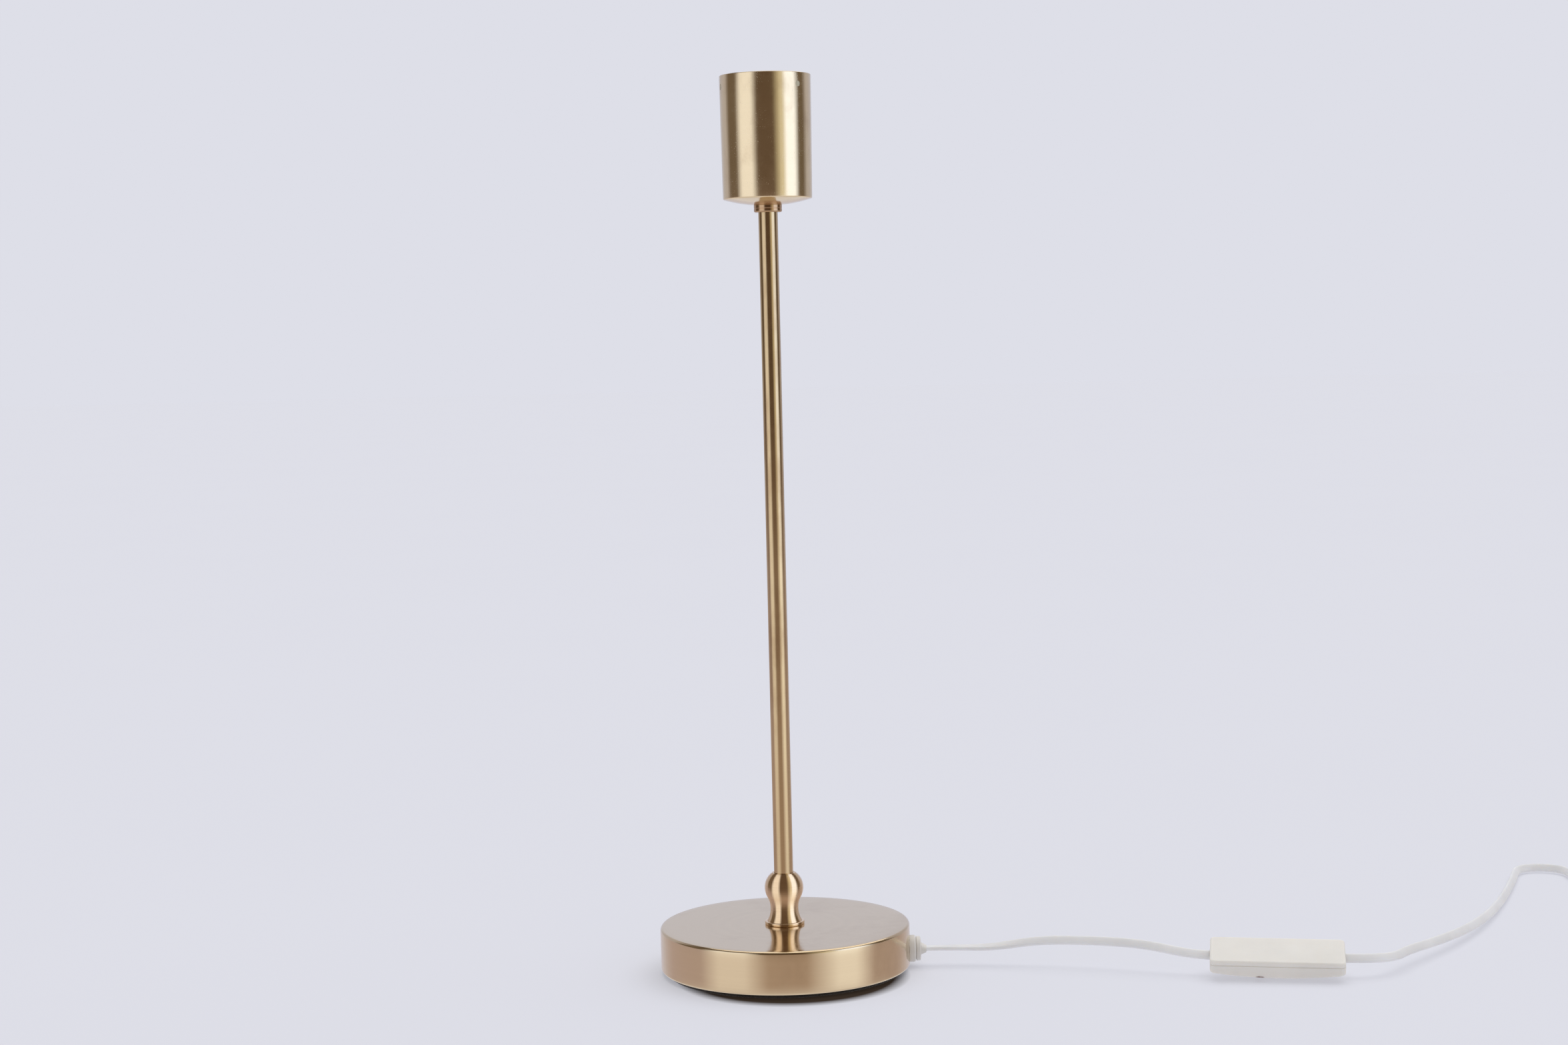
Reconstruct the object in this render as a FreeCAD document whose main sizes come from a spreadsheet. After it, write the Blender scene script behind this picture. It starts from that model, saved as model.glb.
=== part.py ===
import FreeCAD, Part
import math
import os
import re
import Sketcher

# Brass table lamp on a round weighted foot: a thin stem carries an open metal cup
# with a screw-in lamp holder, and a flat two-core cord with an in-line rocker
# switch and a two-pin plug leaves the foot on the +X side.
# Millimetres, +Z up, origin on the standing surface at the stem's axis.

os.makedirs("parts", exist_ok=True)
doc = FreeCAD.newDocument("table_lamp")

# Driving sizes, in millimetres, degrees and plain shares
SIZES = {
    # foot
    "drum_radius": 65.0,
    "drum_height": 22.0,
    "drum_edge": 1.4,
    "cover_wall": 1.2,
    "weight_thickness": 6.0,
    "weight_chamfer": 1.0,
    "plate_thickness": 1.2,
    "pad_height": 2.0,
    "pad_inset": 3.2,
    "pad_edge": 0.5,
    "side_gap": 0.05,
    "quarter_share": 0.4142,
    # stem and the turned pieces on it
    "stem_radius": 5.0,
    "stem_bore": 4.0,
    "stem_chamfer": 0.3,
    "slip_gap": 0.08,
    "baluster_height": 27.0,
    "foot_radius": 10.35,
    "foot_height": 2.2,
    "foot_step": 0.5,
    "neck_radius": 7.3,
    "neck_height": 8.6,
    "bulb_radius": 10.1,
    "bulb_height": 19.4,
    "mouth_radius": 6.0,
    "flare_share": 0.19,
    "swell_share": 0.128,
    "crown_share": 0.25,
    "collar_radius": 7.25,
    "collar_height": 3.9,
    "collar_chamfer": 0.6,
    # nuts and washers on the stem
    "washer_radius": 11.0,
    "washer_thickness": 1.0,
    "foot_nut_flats": 14.0,
    "foot_nut_height": 3.5,
    "stem_end_reach": 0.8,
    "cup_washer_radius": 8.0,
    "cup_washer_thickness": 0.8,
    "cup_nut_height": 3.3,
    # cup
    "lamp_height": 463.1,
    "cup_height": 62.7,
    "cup_dome": 3.0,
    "cup_seat_radius": 8.0,
    "cup_foot_radius": 22.9,
    "cup_rim_radius": 23.5,
    "cup_corner": 0.5,
    "cup_wall": 0.9,
    "dome_share": 0.05,
    "screw_count": 3,
    "screw_turn": -45.0,
    "screw_drop": 6.0,
    "screw_hole_radius": 1.5,
    "grub_radius": 1.45,
    "grub_recess": 0.15,
    # lamp holder
    "holder_boss_radius": 8.0,
    "holder_boss_height": 9.0,
    "holder_boss_neck": 2.4,
    "holder_radius": 19.5,
    "holder_flare": 3.0,
    "holder_floor": 2.0,
    "holder_wall": 1.3,
    "holder_ledge": 1.8,
    "cap_height": 21.4,
    "carrier_depth": 4.0,
    "carrier_rise": 3.0,
    "carrier_radius": 13.5,
    "carrier_rim_radius": 11.5,
    "carrier_rim_rise": 5.0,
    "holder_rim_drop": 2.5,
    "holder_mouth_radius": 15.2,
    "holder_mouth_depth": 2.0,
    "holder_ring_depth": 8.6,
    "holder_ring_step": 2.0,
    "ring_gap": 0.6,
    "shell_radius": 13.35,
    "shell_wall": 0.45,
    "shell_drop": 4.0,
    "shell_lip_radius": 11.5,
    "contact_width": 6.0,
    "contact_thickness": 0.5,
    "root_outer": 10.6,
    "root_inner": 6.5,
    "tongue_gap": 0.1,
    "tongue_bend": 2.0,
    "tongue_tip": 4.6,
    "tongue_rise": 4.4,
    "tongue_nose": 0.9,
    "side_strip_inner": 6.6,
    "side_strip_outer": 11.0,
    "post_offset": 8.6,
    "post_radius": 1.5,
    "post_head_radius": 1.8,
    "post_head_height": 0.6,
    "terminal_side": 5.0,
    "terminal_height": 5.0,
    "terminal_screw_head": 2.1,
    "terminal_screw_cap": 1.2,
    "lead_radius": 0.95,
    "lead_offset": 1.15,
    "lead_bend": 3.2,
    # cord through the lamp
    "cord_radius": 2.5,
    "bore_gap": 0.1,
    "gland_height": 9.0,
    "gland_flange_radius": 7.0,
    "gland_flange_length": 3.1,
    "gland_cap_radius": 6.3,
    "gland_cap_length": 2.5,
    "gland_edge": 0.5,
    "gland_boss_radius": 3.4,
    "gland_boss_length": 3.0,
    "gland_neck_radius": 4.8,
    "gland_nut_radius": 5.6,
    "gland_nut_length": 3.0,
    "gland_nut_gap": 0.3,
    "clip_place": 36.0,
    "clip_length": 9.0,
    "clip_width": 19.0,
    "clip_wall": 1.6,
    "clip_screw_offset": 6.8,
    "clip_screw_radius": 1.2,
    "clip_screw_head": 2.3,
    "clip_screw_cap": 1.2,
    "clip_screw_reach": 4.0,
    "dip_height": 5.85,
    "dip_start": 27.0,
    "dip_end": 16.0,
    "stem_bend": 10.0,
    "dip_bend": 20.0,
    "rise_bend": 30.0,
    "sheath_rise": 2.0,
    # in-line switch, lying on its rocker
    "switch_x": 249.2,
    "switch_y": -43.3,
    "switch_rise": 13.97,
    "switch_yaw": -10.0,
    "switch_pitch": 0.4,
    "switch_tilt": 18.5,
    "switch_length": 67.6,
    "switch_width": 23.8,
    "switch_corner": 2.4,
    "switch_back_edge": 1.1,
    "switch_wall": 1.6,
    "back_depth": 3.0,
    "back_floor": 1.2,
    "front_end_depth": 7.8,
    "front_mid_depth": 10.2,
    "front_edge": 2.0,
    "front_hollow": 6.0,
    "cord_seat": 4.0,
    "cord_hold": 3.2,
    "window_length": 30.0,
    "window_width": 12.0,
    "rocker_length": 29.0,
    "rocker_width": 11.5,
    "rocker_swing": 5.0,
    "rocker_pivot": 7.5,
    "rocker_valley": 10.2,
    "rocker_tip": 11.5,
    "rocker_end_top": 8.6,
    "rocker_shoulder": 4.0,
    "rocker_shoulder_top": 7.9,
    "rocker_crown": 2.4,
    "rocker_edge": 0.5,
    "pin_radius": 0.9,
    "pin_length": 15.6,
    "pin_gap": 0.06,
    "pin_pocket": 16.0,
    "bridge_length": 11.0,
    "bridge_width": 5.0,
    "bridge_thickness": 0.4,
    "blade_place": 3.5,
    "blade_offset": 1.5,
    "blade_length": 1.8,
    "blade_width": 1.0,
    "blade_depth": 4.2,
    # plug
    "plug_length": 34.0,
    "plug_width": 35.3,
    "plug_thickness": 13.7,
    "plug_front": 13.0,
    "plug_tail_width": 15.0,
    "plug_edge": 2.4,
    "plug_face_edge": 0.8,
    "plug_waist_share": 0.18,
    "relief_length": 26.0,
    "relief_tail_radius": 3.5,
    "relief_root_radius": 5.2,
    "relief_grooves": 5,
    "relief_groove": 1.9,
    "relief_groove_depth": 0.8,
    "prong_radius": 2.0,
    "prong_length": 19.0,
    "prong_spacing": 18.6,
    "prong_neck_radius": 1.4,
    "prong_root": 8.0,
    "prong_tip": 0.9,
    "prong_tip_radius": 1.3,
    "hair": 0.01,
    "sleeve_radius": 1.7,
    "sleeve_length": 10.0,
    "fit_gap": 0.05,
    # put-away coil
    "coil_x": 532.0,
    "coil_y": 178.0,
    "coil_outer": 37.0,
    "coil_pitch": 5.5,
    "coil_top_pitch": 7.0,
    "coil_layer": 5.5,
    "floor_clear": 0.1,
    "lead_straight": 12.0,
    "overrun": 5.0,
}

# Places that the cord bends at, as across, along and up; they join the sizes as cells
BENDS = {
    "switch_run": [
        (86.0, 0.0, 9.0),
        (108.0, -3.0, 9.2),
        (132.0, -8.0, 13.8),
        (160.0, -16.0, 14.6),
        (184.0, -26.0, 14.6),
    ],
    "coil_run": [
        (309.0, -43.0, 8.8),
        (319.0, -27.0, 8.2),
        (335.0, -9.0, 7.2),
        (353.0, 13.0, 6.0),
        (368.0, 35.0, 5.0),
        (381.0, 57.0, 4.2),
        (394.0, 83.0, 3.5),
        (406.0, 110.0, 3.0),
        (417.0, 137.0, 2.7),
        (428.5, 167.0, 2.6),
        (435.9, 188.3, 2.6),
        (446.2, 193.9, 2.6),
        (457.5, 191.4, 2.6),
        (464.4, 182.0, 2.6),
        (462.8, 164.1, 2.6),
        (469.2, 151.6, 2.6),
        (481.2, 144.4, 2.6),
        (500.0, 141.2, 2.6),
    ],
}
for run_name, bends in BENDS.items():
    for bend_number, bend in enumerate(bends, start=1):
        for direction, size in zip(("across", "along", "up"), bend):
            SIZES[f"{run_name}_{bend_number}_{direction}"] = size

# Places worked out from the sizes
PLACES = {
    "drum_top": "pad_height + drum_height",
    "cover_inside": "drum_radius - cover_wall",
    "cover_ceiling": "drum_top - cover_wall",
    "weight_base": "cover_ceiling - weight_thickness",
    "plate_top": "pad_height + plate_thickness",
    "slip_radius": "stem_radius + slip_gap",
    "foot_nut_top": "weight_base - washer_thickness",
    "foot_nut_base": "foot_nut_top - foot_nut_height",
    "stem_base": "foot_nut_base - stem_end_reach",
    "cup_seat": "lamp_height - cup_height - cup_dome",
    "cup_corner_height": "cup_seat + cup_dome",
    "collar_base": "cup_seat - collar_height",
    "cup_floor": "cup_seat + cup_wall",
    "cup_nut_base": "cup_floor + cup_washer_thickness",
    "cap_base": "cup_nut_base + cup_nut_height",
    "stem_top": "cap_base + holder_boss_height - stem_end_reach",
    "boss_top": "cap_base + holder_boss_height",
    "cap_top": "cap_base + cap_height",
    "carrier_base": "cap_top - carrier_depth",
    "carrier_top": "cap_top + carrier_rise",
    "holder_rim": "lamp_height - holder_rim_drop",
    "ring_base": "holder_rim - holder_ring_depth",
    "ring_radius": "cup_rim_radius - cup_wall - ring_gap",
    "shell_outer": "shell_radius + shell_wall",
    "shell_base": "carrier_top + carrier_rim_rise",
    "shell_top": "holder_rim - shell_drop",
    "screw_height": "lamp_height - screw_drop",
    "grub_length": "cup_rim_radius - ring_radius - grub_recess",
    "contact_top": "carrier_top + contact_thickness",
    "tongue_start": "root_inner - tongue_gap",
    "terminal_base": "carrier_base - terminal_height",
    "sheath_top": "stem_top + sheath_rise",
    "gland_end": "gland_flange_length + gland_cap_length + gland_boss_length",
    "cord_bore": "cord_radius + bore_gap",
    "clip_top": "gland_height + cord_bore",
    "clip_base": "gland_height - cord_bore - clip_wall",
    "coil_inner": "coil_outer - 3 * coil_pitch",
}


def formula(text):
    """Open up every place in the text and point every size at its cell."""

    def open_word(match):
        word = match.group(0)
        if word in PLACES:
            return "(" + formula(PLACES[word]) + ")"
        if word in SIZES:
            return "Sizes." + word
        return word

    return re.sub(r"[a-z][a-z_0-9]*", open_word, text)


def number(text):
    """Work out a formula from the sheet's cells."""
    return float(sheet.evalExpression(formula(text)))


def point(across, along, up):
    return FreeCAD.Vector(number(across), number(along), number(up))


sheet = doc.addObject("Spreadsheet::Sheet", "Sizes")
for row, (name, size) in enumerate(SIZES.items(), start=1):
    sheet.set(f"A{row}", name)
    sheet.set(f"B{row}", str(size))
    sheet.setAlias(f"B{row}", name)
doc.recompute()

X_AXIS = FreeCAD.Vector(1, 0, 0)
Y_AXIS = FreeCAD.Vector(0, 1, 0)
Z_AXIS = FreeCAD.Vector(0, 0, 1)
UPRIGHT = FreeCAD.Placement()
finished = []


def finish(piece, label, place=UPRIGHT):
    """Name a finished sub-part, set it in its place and list it."""
    piece.Label = label
    piece.Placement = place.multiply(piece.Placement)
    finished.append(piece)
    return piece


def check_cut(body, feature, before):
    """Make sure that a cut took material away."""
    doc.recompute()
    if not body.Shape.Volume < before:
        raise RuntimeError(f"{feature.Name} cuts nothing")


# Sketches


def arc_between(start, end, bulge, left=True):
    """Counterclockwise arc on two places, whose height over half its chord is the bulge."""
    if left:
        start, end = end, start
    chord = end - start
    side = FreeCAD.Vector(chord.y, -chord.x, 0)
    middle = (start + end + side * bulge) / 2
    return Part.Arc(start, middle, end)


def draw(body, plane_role, corners, offset="0"):
    """Closed outline on one of the body's own planes.

    A corner is its two places; a share as third entry makes the next edge an arc,
    to the left of the outline's direction, or to the right where it begins with a minus.
    """
    sketch = body.newObject("Sketcher::SketchObject", body.Name + "_sketch")
    for plane in body.Origin.OriginFeatures:
        if plane.Role == plane_role:
            sketch.AttachmentSupport = [(plane, "")]
    sketch.MapMode = "FlatFace"
    if offset != "0":
        sketch.setExpression("AttachmentOffset.Base.z", formula(offset))
    count = len(corners)
    spots = [FreeCAD.Vector(number(corner[0]), number(corner[1]), 0) for corner in corners]
    for index, corner in enumerate(corners):
        start, end = spots[index], spots[(index + 1) % count]
        if len(corner) == 3:
            share = corner[2].lstrip("-")
            edge = arc_between(start, end, number(share), not corner[2].startswith("-"))
        else:
            edge = Part.LineSegment(start, end)
        sketch.addGeometry(edge, False)
    firsts = []
    lasts = []
    for index in range(count):
        edge = sketch.Geometry[index]
        forward = edge.StartPoint.distanceToPoint(spots[index]) < edge.EndPoint.distanceToPoint(spots[index])
        firsts.append(1 if forward else 2)
        lasts.append(2 if forward else 1)
    for index in range(count):
        following = (index + 1) % count
        sketch.addConstraint(
            Sketcher.Constraint("Coincident", index, lasts[index], following, firsts[following])
        )
    for index, corner in enumerate(corners):
        for kind, axis, text, size in (
            ("DistanceX", -2, corner[0], spots[index].x),
            ("DistanceY", -1, corner[1], spots[index].y),
        ):
            if text == "0":
                sketch.addConstraint(Sketcher.Constraint("PointOnObject", index, firsts[index], axis))
            else:
                made = sketch.addConstraint(
                    Sketcher.Constraint(kind, -1, 1, index, firsts[index], size)
                )
                sketch.setExpression(f"Constraints[{made}]", formula(text))
        if len(corner) == 3:
            share = corner[2].lstrip("-")
            across, up = corners[(index + 1) % count][:2]
            chord = f"sqrt((({across}) - ({corner[0]}))^2 + (({up}) - ({corner[1]}))^2)"
            made = sketch.addConstraint(
                Sketcher.Constraint("Radius", index, sketch.Geometry[index].Radius)
            )
            sketch.setExpression(
                f"Constraints[{made}]", formula(f"{chord} / 4 * (({share}) + 1 / ({share}))")
            )
    return sketch


def draw_circle(body, plane_role, across, up, radius, offset="0"):
    sketch = body.newObject("Sketcher::SketchObject", body.Name + "_circle")
    for plane in body.Origin.OriginFeatures:
        if plane.Role == plane_role:
            sketch.AttachmentSupport = [(plane, "")]
    sketch.MapMode = "FlatFace"
    if offset != "0":
        sketch.setExpression("AttachmentOffset.Base.z", formula(offset))
    centre = FreeCAD.Vector(number(across), number(up), 0)
    sketch.addGeometry(Part.Circle(centre, Z_AXIS, number(radius)), False)
    made = sketch.addConstraint(Sketcher.Constraint("Radius", 0, number(radius)))
    sketch.setExpression(f"Constraints[{made}]", formula(radius))
    for kind, axis, text, size in (
        ("DistanceX", -2, across, centre.x),
        ("DistanceY", -1, up, centre.y),
    ):
        if text == "0":
            sketch.addConstraint(Sketcher.Constraint("PointOnObject", 0, 3, axis))
        else:
            made = sketch.addConstraint(Sketcher.Constraint(kind, -1, 1, 0, 3, size))
            sketch.setExpression(f"Constraints[{made}]", formula(text))
    return sketch


# Ways of making a body


def new_body(label):
    return doc.addObject("PartDesign::Body", label + "_body")


def turn(body, corners):
    """Turned solid: the outline in radius and height, spun about the Z axis."""
    sketch = draw(body, "XZ_Plane", corners)
    spin = body.newObject("PartDesign::Revolution", body.Name + "_turn")
    spin.Profile = sketch
    spin.ReferenceAxis = (sketch, ["V_Axis"])
    spin.Angle = 360
    doc.recompute()
    return spin


def turned(label, corners, place=UPRIGHT):
    body = new_body(label)
    turn(body, corners)
    return finish(body, label, place)


def pad(body, sketch, length, both_ways=False):
    block = body.newObject("PartDesign::Pad", body.Name + "_pad")
    block.Profile = sketch
    block.setExpression("Length", formula(length))
    if both_ways:
        block.SideType = "Symmetric"
    doc.recompute()
    return block


def pocket(body, sketch, length, both_ways=False, forward=False):
    """Cut the sketch's outline out of the body, against its plane's normal or along it."""
    before = body.Shape.Volume
    hollow = body.newObject("PartDesign::Pocket", body.Name + "_pocket")
    hollow.Profile = sketch
    hollow.setExpression("Length", formula(length))
    if both_ways:
        hollow.SideType = "Symmetric"
    hollow.Reversed = forward
    check_cut(body, hollow, before)
    return hollow


def round_edges(body, base, radius, wanted, kind="PartDesign::Fillet"):
    """Round, or chamfer, the edges of the base that the test wants."""
    doc.recompute()
    names = []
    for index, edge in enumerate(base.Shape.Edges, start=1):
        if wanted(edge.BoundBox):
            names.append(f"Edge{index}")
    if not names:
        raise RuntimeError(f"{body.Name} has no such edge")
    before = body.Shape.Volume
    dressed = body.newObject(kind, body.Name + "_edge")
    dressed.Base = (base, names)
    property_name = "Radius" if kind == "PartDesign::Fillet" else "Size"
    dressed.setExpression(property_name, formula(radius))
    check_cut(body, dressed, before)
    return dressed


# Ways of making a piece from plain forms


def cylinder(name, radius, length, place):
    """Round bar along +Z of its own place."""
    bar = doc.addObject("Part::Cylinder", name)
    bar.setExpression("Radius", formula(radius))
    bar.setExpression("Height", formula(length))
    bar.Placement = place
    return bar


def ring(name, outer, inner, length, place):
    tube = doc.addObject("Part::Cut", name)
    tube.Base = cylinder(name + "_outside", outer, length, place)
    tube.Tool = cylinder(name + "_bore", inner, length, place)
    return tube


def fused(name, pieces):
    whole = doc.addObject("Part::MultiFuse", name)
    whole.Shapes = pieces
    return whole


def together(label, pieces, place=UPRIGHT):
    """Like pieces that share one name stay separate solids in one group."""
    group = doc.addObject("Part::Compound", label + "_group")
    group.Links = pieces
    return finish(group, label, place)


def hex_nut(label, flats, height, base):
    prism = doc.addObject("Part::Prism", label + "_prism")
    prism.Polygon = 6
    prism.setExpression("Circumradius", formula(f"{flats} / 2 / cos(30)"))
    prism.setExpression("Height", formula(height))
    prism.Placement = FreeCAD.Placement(point("0", "0", base), FreeCAD.Rotation())
    bore = cylinder(
        label + "_bore", "slip_radius", height, FreeCAD.Placement(point("0", "0", base), FreeCAD.Rotation())
    )
    nut = doc.addObject("Part::Cut", label + "_cut")
    nut.Base = prism
    nut.Tool = bore
    return finish(nut, label)


def plain_part(label, shape, place=UPRIGHT):
    piece = doc.addObject("Part::Feature", label + "_shape")
    piece.Shape = shape
    return finish(piece, label, place)


# Foot of the lamp


def make_foot():
    body = new_body("base_cover")
    turn(
        body,
        [
            ("slip_radius", "drum_top"),
            ("slip_radius", "cover_ceiling"),
            ("cover_inside - drum_edge", "cover_ceiling", "quarter_share"),
            ("cover_inside", "cover_ceiling - drum_edge"),
            ("cover_inside", "pad_height"),
            ("drum_radius", "pad_height"),
            ("drum_radius", "drum_top - drum_edge", "-quarter_share"),
            ("drum_radius - drum_edge", "drum_top"),
        ],
    )
    hole = draw_circle(body, "YZ_Plane", "0", "gland_height", "gland_neck_radius + fit_gap")
    pocket(body, hole, "drum_radius + overrun", forward=True)
    finish(body, "base_cover")

    body = new_body("base_weight")
    turn(
        body,
        [
            ("slip_radius", "weight_base"),
            ("cover_inside - drum_edge - weight_chamfer", "weight_base"),
            ("cover_inside - drum_edge", "weight_base + weight_chamfer"),
            ("cover_inside - drum_edge", "cover_ceiling"),
            ("slip_radius", "cover_ceiling"),
        ],
    )
    boss = draw(
        body,
        "XZ_Plane",
        [
            ("clip_place - clip_length / 2", "clip_top"),
            ("clip_place + clip_length / 2", "clip_top"),
            ("clip_place + clip_length / 2", "weight_base + weight_chamfer"),
            ("clip_place - clip_length / 2", "weight_base + weight_chamfer"),
        ],
    )
    pad(body, boss, "clip_width", both_ways=True)
    for side in ("", "-"):
        pilot = draw_circle(
            body, "XY_Plane", "clip_place", f"{side}clip_screw_offset", "clip_screw_radius + fit_gap"
        )
        pocket(body, pilot, "clip_top + clip_screw_reach + fit_gap", forward=True)
    finish(body, "base_weight")

    turned(
        "bottom_plate",
        [
            ("0", "pad_height"),
            ("cover_inside - side_gap", "pad_height"),
            ("cover_inside - side_gap", "plate_top"),
            ("0", "plate_top"),
        ],
    )
    turned(
        "foot_pad",
        [
            ("0", "0"),
            ("drum_radius - pad_inset - pad_edge", "0"),
            ("drum_radius - pad_inset", "pad_edge"),
            ("drum_radius - pad_inset", "pad_height"),
            ("0", "pad_height"),
        ],
    )
    turned(
        "base_washer",
        [
            ("slip_radius", "foot_nut_top"),
            ("washer_radius", "foot_nut_top"),
            ("washer_radius", "weight_base"),
            ("slip_radius", "weight_base"),
        ],
    )
    hex_nut("base_nut", "foot_nut_flats", "foot_nut_height", "foot_nut_base")


# Stem, baluster, collar and cup


def make_stem():
    turned(
        "stem_tube",
        [
            ("stem_bore", "stem_base"),
            ("stem_radius - stem_chamfer", "stem_base"),
            ("stem_radius", "stem_base + stem_chamfer"),
            ("stem_radius", "stem_top - stem_chamfer"),
            ("stem_radius - stem_chamfer", "stem_top"),
            ("stem_bore", "stem_top"),
        ],
    )
    turned(
        "baluster",
        [
            ("slip_radius", "drum_top"),
            ("foot_radius - foot_step", "drum_top"),
            ("foot_radius", "drum_top + foot_step"),
            ("foot_radius", "drum_top + foot_height"),
            ("foot_radius - foot_step", "drum_top + foot_height", "flare_share"),
            ("neck_radius", "drum_top + neck_height", "swell_share"),
            (
                "(neck_radius + bulb_radius) / 2",
                "drum_top + (neck_height + bulb_height) / 2",
                "-swell_share",
            ),
            ("bulb_radius", "drum_top + bulb_height", "-crown_share"),
            ("mouth_radius", "drum_top + baluster_height"),
            ("slip_radius", "drum_top + baluster_height"),
        ],
    )
    turned(
        "collar",
        [
            ("slip_radius", "collar_base"),
            ("collar_radius - collar_chamfer", "collar_base"),
            ("collar_radius", "collar_base + collar_chamfer"),
            ("collar_radius", "cup_seat"),
            ("slip_radius", "cup_seat"),
        ],
    )


def make_cup():
    body = new_body("socket_cup")
    turn(
        body,
        [
            ("slip_radius", "cup_seat"),
            ("cup_seat_radius", "cup_seat", "-dome_share"),
            (
                "cup_foot_radius - cup_corner",
                "cup_corner_height - cup_corner / 2",
                "-quarter_share",
            ),
            ("cup_foot_radius", "cup_corner_height + cup_corner / 2"),
            ("cup_rim_radius", "lamp_height"),
            ("cup_rim_radius - cup_wall", "lamp_height"),
            ("cup_foot_radius - cup_wall", "cup_corner_height + cup_wall"),
            ("cup_seat_radius + cup_wall", "cup_floor"),
            ("slip_radius", "cup_floor"),
        ],
    )
    hole = draw_circle(body, "YZ_Plane", "0", "screw_height", "screw_hole_radius")
    drilled = pocket(body, hole, "cup_rim_radius + overrun", forward=True)
    pattern = body.newObject("PartDesign::PolarPattern", "socket_cup_holes")
    pattern.Originals = [drilled]
    for axis in body.Origin.OriginFeatures:
        if axis.Role == "Z_Axis":
            pattern.Axis = (axis, [""])
    pattern.Angle = 360
    pattern.setExpression("Occurrences", formula("screw_count"))
    body.Tip = pattern
    check_cut(body, pattern, drilled.Shape.Volume)
    start = FreeCAD.Rotation(Z_AXIS, number("screw_turn"))
    finish(body, "socket_cup", FreeCAD.Placement(FreeCAD.Vector(), start))

    screws = []
    count = int(number("screw_count"))
    for index in range(count):
        angle = number("screw_turn") + index * 360 / count
        aim = FreeCAD.Rotation(Z_AXIS, angle).multiply(FreeCAD.Rotation(Y_AXIS, 90))
        reach = FreeCAD.Rotation(Z_AXIS, angle).multVec(
            point("ring_radius", "0", "0")
        )
        spot = reach + point("0", "0", "screw_height")
        screws.append(
            cylinder(f"grub_{index}", "grub_radius", "grub_length", FreeCAD.Placement(spot, aim))
        )
    together("cup_grub_screws", screws)
    turned(
        "cup_washer",
        [
            ("slip_radius", "cup_floor"),
            ("cup_washer_radius", "cup_floor"),
            ("cup_washer_radius", "cup_nut_base"),
            ("slip_radius", "cup_nut_base"),
        ],
    )
    hex_nut("cup_nut", "foot_nut_flats", "cup_nut_height", "cup_nut_base")


# Lamp holder inside the cup


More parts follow.
